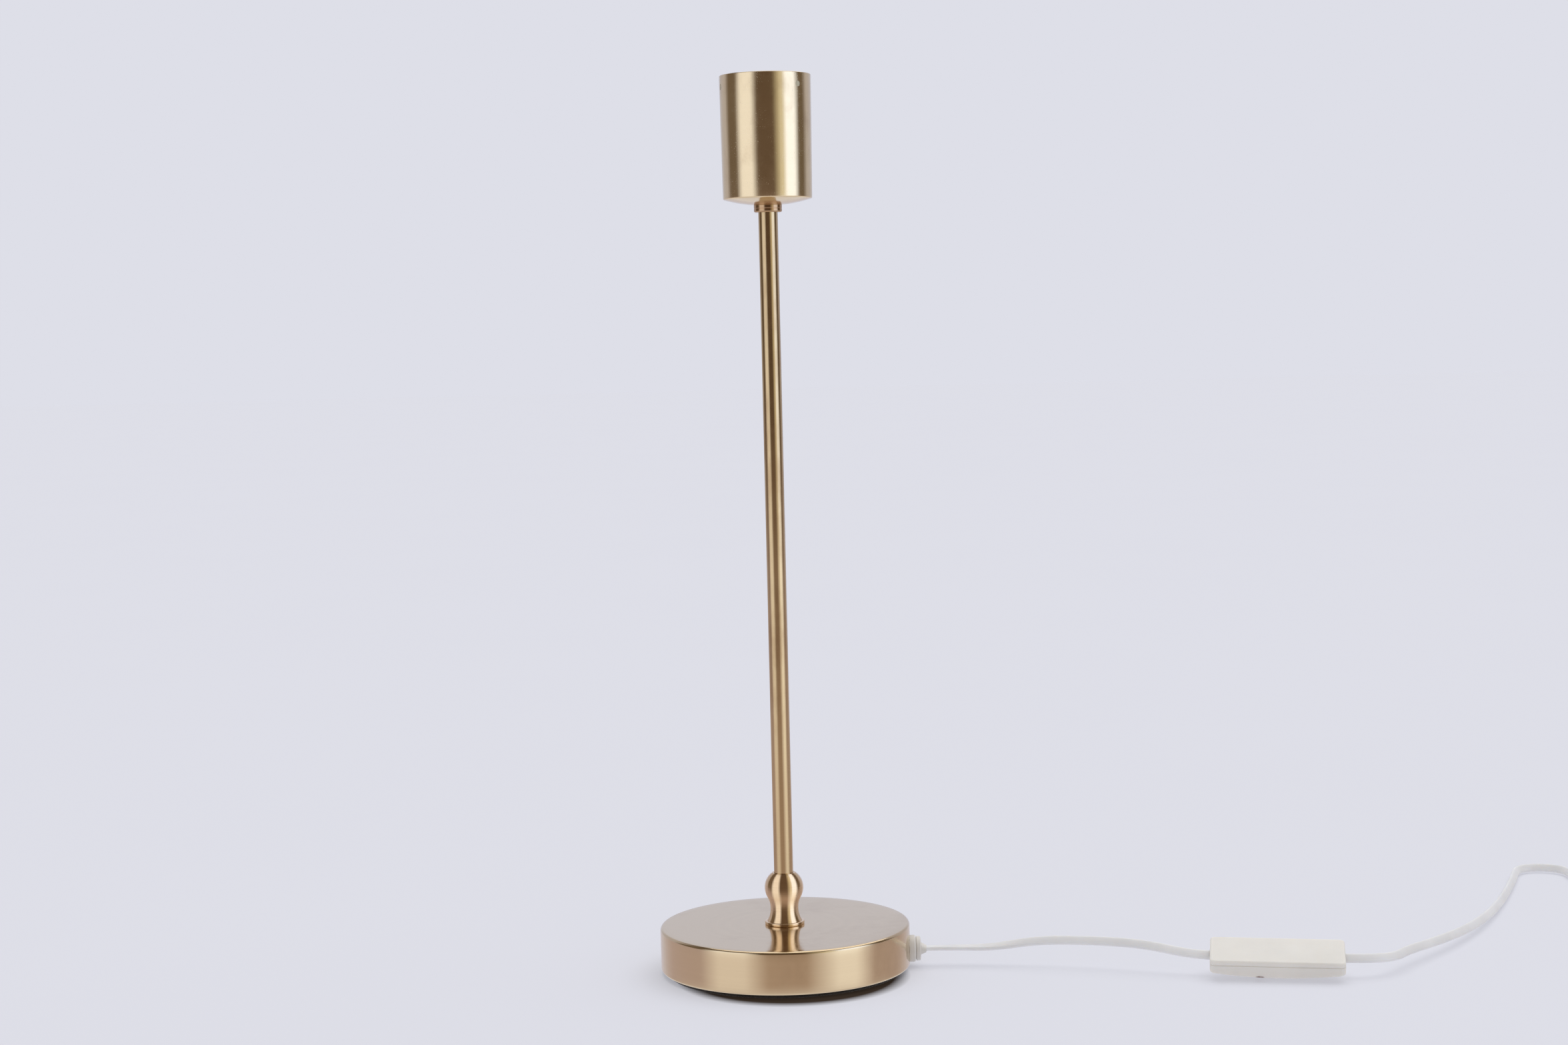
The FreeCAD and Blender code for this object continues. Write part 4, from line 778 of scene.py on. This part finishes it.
class LAMP_OT_foot(bpy.types.Operator):
    """Makes the foot: its spun cover, felt pad and the parts inside"""

    bl_idname = "lamp.foot"
    bl_label = "Foot"

    def execute(self, context):
        gloss = context.scene.lamp_finishes.top_gloss
        wall = brass("foot wall brass", (0.69, 0.535, 0.335), 0.14, 0.06, 0.00035, 0.96, lacquer=0.25)
        # painted reflection: the top is a bluer, greyer copy of the wall's brass, tinted to give the look of
        # the pale backdrop mirrored in it
        top = brass("foot top brass with painted reflection", (0.445, 0.41, 0.575), gloss, 0.02, 0.0006, 0.985, 0.08, lacquer=1.0)
        profile = outline(
            [(reach, FOOT_HEIGHT) for reach in (5.25, 30.0, 50.0, 60.0)],
            rounded(FOOT_RADIUS, FOOT_HEIGHT, TOP_ROUND, ((-1, 0), (0, -1)), 8),
            (FOOT_RADIUS, 18.0), (FOOT_RADIUS, 8.0),
            rounded(FOOT_RADIUS, 2.0, BOTTOM_ROUND, ((0, 1), (-1, 0)), 8),
            (63.8, 2.05), (63.8, 22.6), (63.6, 22.8), (5.25, 22.8),
        )
        flat = FOOT_RADIUS - TOP_ROUND
        level = FOOT_HEIGHT - 0.02
        cover = lathe(
            "foot_cover", profile, shine=lambda radius, height: int(height > level and radius < flat)
        )
        cover = drilled(cover, [CORD_HOLE])
        place_piece("foot_cover", cover, [wall, top], ["base_cover"])
        sides = outline(
            (0.0, 0.0), (40.0, 0.0), rounded(PAD_RADIUS, 0.0, 0.5, BOTTOM_OUT, 4),
            rounded(PAD_RADIUS, PAD_HEIGHT, 0.4, TOP_IN, 4), (0.0, PAD_HEIGHT),
        )
        # the felt's near-black colour is partly its own and partly painted shade of the recess under the
        # foot's rim
        pressed = felt("pressed felt with painted shade", (0.035, 0.026, 0.017))
        turned_piece("felt_pad", sides, [pressed], "felt", ["foot_pad"], closed=False)
        iron = plain_metal("cast iron", (0.09, 0.09, 0.095), 0.6, 700.0, 0.5, 0.6, 0.4)
        finish_nodes(iron, "base_weight")
        painted = plain_metal("black painted plate", (0.05, 0.05, 0.05), 0.5, 900.0, 0.3, 0.0)
        finish_nodes(painted, "bottom_plate")
        zinc = plain_metal("zinc plate", (0.60, 0.61, 0.64), 0.32, 1100.0, 0.35)
        finish_nodes(zinc, "base_washer", "base_nut", "cord_clip", "clip_screws")
        return {"FINISHED"}


# Stem and the turned pieces


STEM_RADIUS, STEM_FOOT, STEM_TOP = 5.0, 11.5, 410.6
# The baluster's ring is brighter up to this height
RING_TOP = 25.71


class LAMP_OT_stem(bpy.types.Operator):
    """Makes the stem, the baluster on the foot and the collar under the cup"""

    bl_idname = "lamp.stem"
    bl_label = "Stem and turned pieces"

    def execute(self, context):
        finishes = context.scene.lamp_finishes
        drawn = brass("stem brass", (0.58, 0.425, 0.24), 0.12, 0.01, 0.0009, 0.97, drawn=0.55, turn=3.0)
        tube = outline(
            (4.0, STEM_FOOT), (4.7, STEM_FOOT),
            *[(STEM_RADIUS, STEM_FOOT + 0.3 + 12.0 * step) for step in range(33)],
            (STEM_RADIUS, STEM_TOP - 0.3), (4.7, STEM_TOP), (4.0, STEM_TOP),
        )
        turned_piece("stem", tube, [drawn], "polished_brass", ["stem_tube"], steps=96)
        turned = brass(
            "turned brass", list(finishes.baluster_brass), 0.12, 0.2, 0.00055, 0.86, 0.3, 60.0,
            brushed=0.9, level=0.22, lift=0.11,
        )
        ring = brass("baluster ring brass", (0.85, 0.63, 0.41), 0.16, 0.1, rub=0.9, tarnish=0.3, level=0.6)
        sides = outline(
            (5.08, 24.0), (9.85, 24.0), bow((9.85, 24.0), (10.35, 24.4), -0.3, 4),
            bow((10.35, 25.4), (10.05, 25.7), -0.4, 4), (9.1, 25.7), bow((9.1, 25.7), (7.3, 32.6), 0.15, 14),
            bow((7.3, 32.6), (8.7, 38.0), 0.128, 12), bow((8.7, 38.0), (10.1, 43.4), -0.128, 12),
            bow((10.1, 43.4), (6.0, 51.0), -0.25, 18), (5.08, 51.0),
        )
        baluster = lathe("baluster", sides, steps=128, shine=lambda radius, height: int(height < RING_TOP))
        place_piece("baluster_turned", baluster, [turned, ring], ["baluster"])
        sides = outline(
            (5.08, 393.5), (6.55, 393.5), bow((6.55, 393.5), (7.25, 394.1), -0.2, 4), (7.25, 395.1),
            bow((7.25, 395.1), (7.25, 395.7), 0.35, 4), rounded(7.25, 397.4, 0.3, TOP_IN, 4), (5.08, 397.4),
        )
        collar = brass("collar brass", (0.48, 0.31, 0.175), 0.13, 0.05, 0.0005, 0.92, 0.3, level=0.5)
        turned_piece("cup_collar", sides, [collar], "dark_brass", ["collar"], steps=128)
        return {"FINISHED"}


# Cup


CUP_HOLES = (-45.0, 75.0, 195.0)
HOLE_HEIGHT, HOLE_RADIUS = 457.1, 1.5
# The cup has its floor up to this height, in a paler, greyer copy of the brass that is painted reflection
FLOOR_TOP = 400.2


class LAMP_OT_cup(bpy.types.Operator):
    """Makes the spun cup with its three screw holes"""

    bl_idname = "lamp.cup"
    bl_label = "Cup"

    def execute(self, context):
        finishes = context.scene.lamp_finishes
        sides = outline(
            (5.3, 397.4), (8.0, 397.4), bow((8.0, 397.4), (22.4, 400.15), -0.05, 14),
            bow((22.4, 400.15), (22.9, 400.85), -0.35, 5), (23.02, 410.0), (23.15, 425.0), (23.3, 440.0),
            (23.48, 462.7), bow((23.48, 462.7), (23.05, 463.1), -0.41, 4),
            bow((23.05, 463.1), (22.6, 462.75), -0.41, 4), (22.2, 425.0), (22.0, 401.6),
            bow((21.6, 401.1), (8.0, 398.3), 0.05, 8), (5.3, 398.3),
        )
        shell = lathe("lamp_cup", sides, shine=lambda radius, height: int(height < FLOOR_TOP))
        drills = []
        for turn in CUP_HOLES:
            ends = [(*on_circle(reach, math.radians(turn)), HOLE_HEIGHT) for reach in (20.0, 26.0)]
            drills.append((*ends, HOLE_RADIUS))
        wall = brass(
            "cup brass", list(finishes.cup_brass), finishes.wall_gloss, 0.04, 0.0004, 0.97, 0.25, 70.0, 0.55,
            lacquer=0.2,
        )
        # painted reflection: the cup's underside is a pale grey copy of its brass, tinted to give the look of
        # the table mirrored in it
        under = brass("cup floor brass with painted reflection", (0.80, 0.77, 0.77), 0.08, 0.02, rub=0.98, tarnish=0.05, lacquer=1.0)
        place_piece("lamp_cup", drilled(shell, drills), [wall, under], ["socket_cup"])
        return {"FINISHED"}


# Lampholder


THREAD_PITCH, THREAD_FADE = 3.63, 1.6
THREAD_LOW, THREAD_HIGH = 432.3, 456.6
THREAD_VALLEY, THREAD_CREST, THREAD_WALL = 12.75, 13.35, 0.42
ROWS_A_TURN = 14


def thread_radius(height, angle):
    """Radius of the shell's inside, with a round screw thread that fades out at both ends."""
    turn = (height - THREAD_LOW) / THREAD_PITCH - angle / math.tau
    fade = min(1.0, (height - THREAD_LOW) / THREAD_FADE, (THREAD_HIGH - height) / THREAD_FADE)
    depth = THREAD_CREST - THREAD_VALLEY
    return THREAD_VALLEY + depth * (0.5 + 0.5 * math.cos(math.tau * turn) * max(fade, 0.0))


def thread_mesh(name, steps=144):
    """Thin shell with the lamp's screw thread."""
    shape = bmesh.new()
    rows = int((THREAD_HIGH - THREAD_LOW) / THREAD_PITCH * ROWS_A_TURN)
    inside = [(row, 0.0) for row in range(rows + 1)]
    outside = [(row, THREAD_WALL) for row in range(rows, -1, -1)]
    rings = []
    for row, wall in inside + outside:
        height = THREAD_LOW + (THREAD_HIGH - THREAD_LOW) * row / rows
        ring = []
        for step in range(steps):
            angle = math.tau * step / steps
            radius = (thread_radius(height, angle) + wall) * MM
            ring.append(shape.verts.new((*on_circle(radius, angle), height * MM)))
        rings.append(ring)
    bridge_all(shape, rings + rings[:1])
    return finished(shape, name, 50.0)


class LAMP_OT_holder(bpy.types.Operator):
    """Makes the screw lampholder in the cup, with its contacts and leads"""

    bl_idname = "lamp.holder"
    bl_label = "Lampholder"

    def execute(self, context):
        nickel = plain_metal("bright nickel", (0.66, 0.64, 0.60), 0.2, 1300.0, 0.2)
        rolled = plain_metal("contact brass", (0.60, 0.44, 0.18), 0.3, 1200.0, 0.4)
        black = moulded("black holder plastic", (0.035, 0.035, 0.036), 0.4, 1600.0, 0.12, 0.12)
        dulled = plain_metal("dulled zinc", (0.60, 0.53, 0.36), 0.45, 1200.0, 0.3)
        leads = moulded("lead insulation", (0.62, 0.62, 0.60), 0.4, 1500.0, 0.08, 0.08)
        shell = thread_mesh("screw_shell_threaded")
        place_piece("screw_shell_threaded", shell, [nickel], ["screw_shell"])
        lip = [(11.5, 431.8), (13.4, 431.8), (13.4, 432.25), (11.5, 432.25)]
        turned_piece("screw_shell_lip", lip, [nickel], "nickel", steps=128)
        finish_nodes(black, "holder_cap", "contact_carrier", "holder_sleeve")
        finish_nodes(rolled, "contact_root", "contact_tongue", "side_contact", "terminals")
        finish_nodes(bpy.data.materials["zinc plate"], "terminal_screws", "cup_washer", "cup_nut")
        finish_nodes(dulled, "cup_grub_screws")
        finish_nodes(leads, "holder_leads")
        finish_nodes(bpy.data.materials["cord sheath"], "inner_cord")
        return {"FINISHED"}


# Gland, switch and plug


# The gland's turned pieces lie along the cord, from the foot's wall
GLAND_LEVEL = 9.0
ON_GLAND = {"steps": 96, "axis": (1, 0, 0), "offset": (FOOT_RADIUS, 0.0, GLAND_LEVEL)}
BOSS_START, BOSS_LEVEL, BOSS_FLATNESS = 70.62, 8.7, 0.58

# Brown scuff on the switch's lower edge that faces the camera, in metres
SCUFF_PLACE = (0.2390, -0.0500, 0.0016)
SCUFF_SHARES = (1.0, 1.0, 2.4)
SCUFF_REACH, SCUFF_CORE = 0.0026, 0.0014

# The switch's flat shell, in millimetres, and how it lies
SHELL_LENGTH, SHELL_WIDTH, SHELL_CORNER, SHELL_EDGE = 67.6, 23.8, 2.4, 1.1
SHELL_SEAM = [(0.0, -2.5), (0.5, -3.0), (1.6, -3.0), (1.6, -1.2)]
SHELL_HOLES = [((side * 30.0, 0.0, -4.0), (side * 36.0, 0.0, -4.0), 2.6) for side in (1, -1)]
SHELL_PLACE = (249.2, -43.3, 13.97)
SHELL_LEAN = (18.5, 0.4, -10.0)


class LAMP_OT_gland(bpy.types.Operator):
    """Makes the two flanges and the boss that the cord leaves the foot through"""

    bl_idname = "lamp.gland"
    bl_label = "Gland"

    def execute(self, context):
        ivory = moulded("gland ivory", context.scene.cord_finishes.switch_ivory, 0.4, 2000.0, 0.1, 0.04)
        sides = outline(
            (2.6, -4.2), (4.8, -4.2), (4.8, -0.35), rounded(7.0, -0.35, 0.1, BOTTOM_OUT, 4),
            rounded(7.0, 2.9, 0.7, TOP_IN, 6), (5.6, 2.9), (5.6, 3.1), (2.6, 3.1),
        )
        turned_piece("gland_flange", sides, [ivory], "ivory_plastic", ["cord_gland"], **ON_GLAND)
        sides = outline(
            (2.6, 3.1), (5.6, 3.1), (5.6, 3.35), rounded(6.3, 3.35, 0.25, BOTTOM_OUT, 4),
            rounded(6.3, 5.6, 0.6, TOP_IN, 6), (3.4, 5.6), rounded(3.4, 8.6, 0.35, TOP_IN, 4), (2.6, 8.6),
        )
        cap = lathe("gland_outer_ring", sides, **ON_GLAND)
        # the boss is a flat oval round the flat cord
        for spot in cap.vertices:
            if spot.co.x > BOSS_START * MM:
                spot.co.z = BOSS_LEVEL * MM + (spot.co.z - GLAND_LEVEL * MM) * BOSS_FLATNESS
        cap.update()
        place_piece("gland_outer_ring", cap, [ivory], ["gland_cap"])
        finish_nodes(ivory, "gland_nut")
        return {"FINISHED"}


class LAMP_OT_switch(bpy.types.Operator):
    """Makes the in-line switch with its rocker"""

    bl_idname = "lamp.switch"
    bl_label = "In-line switch"

    def execute(self, context):
        colour = context.scene.cord_finishes.switch_ivory
        # the switch's glow is partly painted light that lightens its shaded underside
        ivory = moulded("switch ivory", colour, 0.38, 2200.0, 0.1, 0.03, glow=0.5)
        self.scuff(ivory.node_tree)
        rounds = [math.pi / 2 * step / 8 for step in range(9)]
        rings = [(SHELL_EDGE * (1 - math.sin(turn)), -SHELL_EDGE * (1 - math.cos(turn))) for turn in rounds]
        back = rounded_box("switch_back_shell", SHELL_LENGTH, SHELL_WIDTH, SHELL_CORNER, rings + SHELL_SEAM)
        back = drilled(back, SHELL_HOLES)
        lean = Euler([math.radians(turn) for turn in SHELL_LEAN]).to_matrix().to_4x4()
        back.transform(Matrix.Translation(Vector(SHELL_PLACE) * MM) @ lean)
        place_piece("switch_back_shell", back, [ivory], ["switch_back_cover"])
        finish_nodes(ivory, "switch_front_cover", "switch_rocker")
        finish_nodes(bpy.data.materials["zinc plate"], "rocker_pin")
        finish_nodes(bpy.data.materials["contact brass"], "switch_bridge", "switch_contacts")
        [tuple(spot) for spot in near_line()]
        return {"FINISHED"}

    def scuff(self, tree):
        """Browns the switch's plastic where it is scuffed."""
        shader = tree.nodes["Principled BSDF"]
        clean = shader.inputs["Base Color"].links[0].from_socket
        away = distance_from(tree, SCUFF_PLACE, SCUFF_SHARES)
        uneven = stretch(tree, mask(tree, "patches", 500.0, 0.3, 0.6), 0.0, 1.0, 0.6, 1.0)
        scuffed = times(tree, stretch(tree, away, SCUFF_REACH, SCUFF_CORE), uneven)
        tone = blend_colours(tree, scuffed, clean, (0.17, 0.085, 0.06))
        join(tree, shader, {"Base Color": tone, "Emission Color": tone})


class LAMP_OT_plug(bpy.types.Operator):
    """Gives the flat two-pin plug and its strain relief their materials"""

    bl_idname = "lamp.plug"
    bl_label = "Plug"

    def execute(self, context):
        ivory = moulded("plug ivory", context.scene.cord_finishes.switch_ivory, 0.4, 1800.0, 0.12, 0.04)
        finish_nodes(ivory, "plug_relief", "plug_body")
        finish_nodes(bpy.data.materials["bright nickel"], "plug_pins")
        finish_nodes(moulded("sleeve plastic", (0.05, 0.05, 0.05), 0.45, 1500.0, 0.1, 0.1), "pin_sleeves")
        return {"FINISHED"}


# Studio


# Bands of the room that the metal mirrors: from and to, in degrees round from the camera's side
ROOM_BANDS = [
    (-180.0, -166.0, (0.67, 0.70, 0.83)),
    (-150.0, -122.0, (0.57, 0.575, 0.66)),
    (-108.0, -83.0, (0.185, 0.150, 0.118)),
    (-67.0, -38.0, (1.15, 1.22, 1.37)),
    (-23.0, 18.0, (0.143, 0.103, 0.076)),
    (29.0, 30.0, (0.52, 0.49, 0.38)),
    (37.0, 43.0, (0.84, 0.83, 0.70)),
    (53.0, 76.0, (1.43, 1.66, 2.17)),
    (91.0, 107.0, (0.175, 0.142, 0.108)),
    (124.0, 150.0, (0.57, 0.575, 0.66)),
    (166.0, 180.0, (0.67, 0.70, 0.83)),
]
# The same round the room's foot, where the bands are softer
LOW_BANDS = [
    (-180.0, -150.0, (0.72, 0.80, 1.00)),
    (-128.0, -84.0, (0.52, 0.50, 0.66)),
    (-64.0, -38.0, (1.50, 1.66, 1.87)),
    (-16.0, 19.0, (0.35, 0.285, 0.25)),
    (50.0, 68.0, (1.93, 2.20, 2.52)),
    (90.0, 125.0, (0.45, 0.42, 0.50)),
    (150.0, 180.0, (0.72, 0.80, 1.00)),
]
# What is mirrored above and below the bands: from and to in height, how much at most, and its colour
ROOM_LEVELS = [
    (0.50, 0.75, 1.0, (0.12, 0.095, 0.075)),
    (-0.03, -0.19, 0.63, (0.61, 0.51, 0.485)),
    (-0.28, -0.38, 1.0, (0.80, 0.80, 0.86)),
]
LOW_BANDS_FROM, LOW_BANDS_TO = -0.04, -0.13

TABLE_REACH = 14.0
TABLE_DROP = 0.0004
# Spread and lean of the light from above, in degrees
TOP_LIGHT_SPREAD = 70.0
TOP_LIGHT_LEAN = (-16.0, 10.0, 0.0)
# Painted contact shadow, a dark band on the table where the foot stands: its middle, where it is darkest and
# where it clears, in metres, and its colour
PAINTED_SHADOW_MIDDLE = (0.004, -0.0172, 0.0)
PAINTED_SHADOW_DARK, PAINTED_SHADOW_CLEAR = 0.0522, 0.0606
PAINTED_SHADOW_COLOUR = (0.030, 0.021, 0.015)


class LAMP_OT_stage(bpy.types.Operator):
    """Makes the pale table, the wide light from above and the room that the brass mirrors"""

    bl_idname = "lamp.stage"
    bl_label = "Studio"

    def execute(self, context):
        settings = context.scene.studio_settings
        self.make_floor(settings)
        self.make_room(context, settings)
        light = bpy.data.lights.new("top_light", "SUN")
        light.energy = settings.lamp_level
        light.angle = math.radians(TOP_LIGHT_SPREAD)
        light.specular_factor = 0.0
        hung = new_object("top_light", light)
        hung.rotation_euler = [math.radians(turn) for turn in TOP_LIGHT_LEAN]
        context.scene.view_settings.view_transform = "Standard"
        return {"FINISHED"}

    def make_floor(self, settings):
        """Lays the table, which glows so that its shadows stay soft, with a painted shadow round the foot."""
        mesh = bpy.data.meshes.new("table")
        corners = [(-1, -1), (1, -1), (1, 1), (-1, 1)]
        mesh.from_pydata([(x * TABLE_REACH, y * TABLE_REACH, 0) for x, y in corners], [], [(0, 1, 2, 3)])
        table = new_object("table", mesh)
        table.location.z = -TABLE_DROP
        material, tree, shader = new_material("pale table")
        cloud = noise(tree, {"Vector": object_place(tree), "Scale": 3.0, "Detail": 3.0})
        tone = blend_colours(tree, cloud, tint(settings.floor, 0.995), tint(settings.floor, 1.005))
        # painted shadow: the table's colour and glow turn dark round the foot's front edge
        away = distance_from(tree, PAINTED_SHADOW_MIDDLE, (1.0, 1.0, 0.0))
        tone = blend_colours(tree, stretch(tree, away, PAINTED_SHADOW_DARK, PAINTED_SHADOW_CLEAR), PAINTED_SHADOW_COLOUR, tone)
        inputs = {
            "Base Color": tone,
            "Emission Color": tone,
            "Emission Strength": settings.table_glow,
            "Roughness": 0.9,
            "Specular IOR Level": 0.0,
        }
        join(tree, shader, inputs)
        mesh.materials.append(material)
        table.visible_glossy = False

    def make_room(self, context, settings):
        """Makes mirrored bands for the metal, an even fill and a flat backdrop."""
        world = context.scene.world or bpy.data.worlds.new("room")
        context.scene.world = world
        world.use_nodes = True
        tree = world.node_tree
        tree.nodes.clear()
        place = node(tree, "ShaderNodeTexCoord").outputs["Generated"]
        across, deep, height = node(tree, "ShaderNodeSeparateXYZ", {0: place}).outputs
        turn = math_node(tree, "ARCTAN2", across, times(tree, deep, -1.0))
        share = math_node(tree, "MULTIPLY_ADD", turn, 1 / math.tau, 0.5)
        rings = []
        for bands in (ROOM_BANDS, LOW_BANDS):
            stops = [((degrees / 180.0 + 1.0) / 2.0, colour) for *ends, colour in bands for degrees in ends]
            rings.append(ramp(tree, share, stops))
        mirrored = blend_colours(tree, stretch(tree, height, LOW_BANDS_FROM, LOW_BANDS_TO), *rings)
        for start, end, most, colour in ROOM_LEVELS:
            mirrored = blend_colours(tree, stretch(tree, height, start, end, 0.0, most), mirrored, colour)
        rays = node(tree, "ShaderNodeLightPath").outputs
        level = settings.sky_level
        plain = blend_colours(tree, rays["Is Glossy Ray"], (level, level, level * 1.02), mirrored)
        seen = math_node(tree, "MAXIMUM", rays["Is Camera Ray"], rays["Is Transmission Ray"])
        shown = blend_colours(tree, seen, plain, settings.backdrop)
        glow = node(tree, "ShaderNodeBackground", {"Color": shown})
        node(tree, "ShaderNodeOutputWorld", {"Surface": glow.outputs[0]})


class LAMP_PT_panel(bpy.types.Panel):
    """Lists the lamp's sizes, colours and pieces"""

    bl_label = "Brass Table Lamp"
    bl_idname = "LAMP_PT_panel"
    bl_space_type = "VIEW_3D"
    bl_region_type = "UI"
    bl_category = "Lamp"

    def draw(self, context):
        for holder, title, _ in GROUPS:
            box = self.layout.box()
            box.label(text=title)
            settings = getattr(context.scene, holder)
            for name in settings.__annotations__:
                box.prop(settings, name)
        for step in STEPS:
            self.layout.operator(step.bl_idname)


GROUPS = (
    ("lamp_finishes", "Brass", LampFinishes),
    ("cord_finishes", "Cord and switch", CordFinishes),
    ("studio_settings", "Studio", StudioSettings),
)
STEPS = (
    LAMP_OT_camera, LAMP_OT_cords, LAMP_OT_foot, LAMP_OT_stem, LAMP_OT_cup, LAMP_OT_holder, LAMP_OT_gland,
    LAMP_OT_switch, LAMP_OT_plug, LAMP_OT_stage,
)


def register():
    """Adds the classes and the settings to Blender."""
    for name, _, kind in GROUPS:
        bpy.utils.register_class(kind)
        setattr(bpy.types.Scene, name, PointerProperty(type=kind))
    for kind in (*STEPS, LAMP_PT_panel):
        bpy.utils.register_class(kind)


def unregister():
    """Takes the classes and the settings away again."""
    for kind in reversed((*STEPS, LAMP_PT_panel)):
        bpy.utils.unregister_class(kind)
    for name, _, kind in GROUPS:
        delattr(bpy.types.Scene, name)
        bpy.utils.unregister_class(kind)


def main():
    """Builds every piece in order."""
    register()
    make_lathe_lines()
    make_patches()
    make_specks()
    make_grain()
    make_level_normal()
    for step in STEPS:
        getattr(bpy.ops.lamp, step.bl_idname.split(".")[1])()


if __name__ == "__main__":
    main()
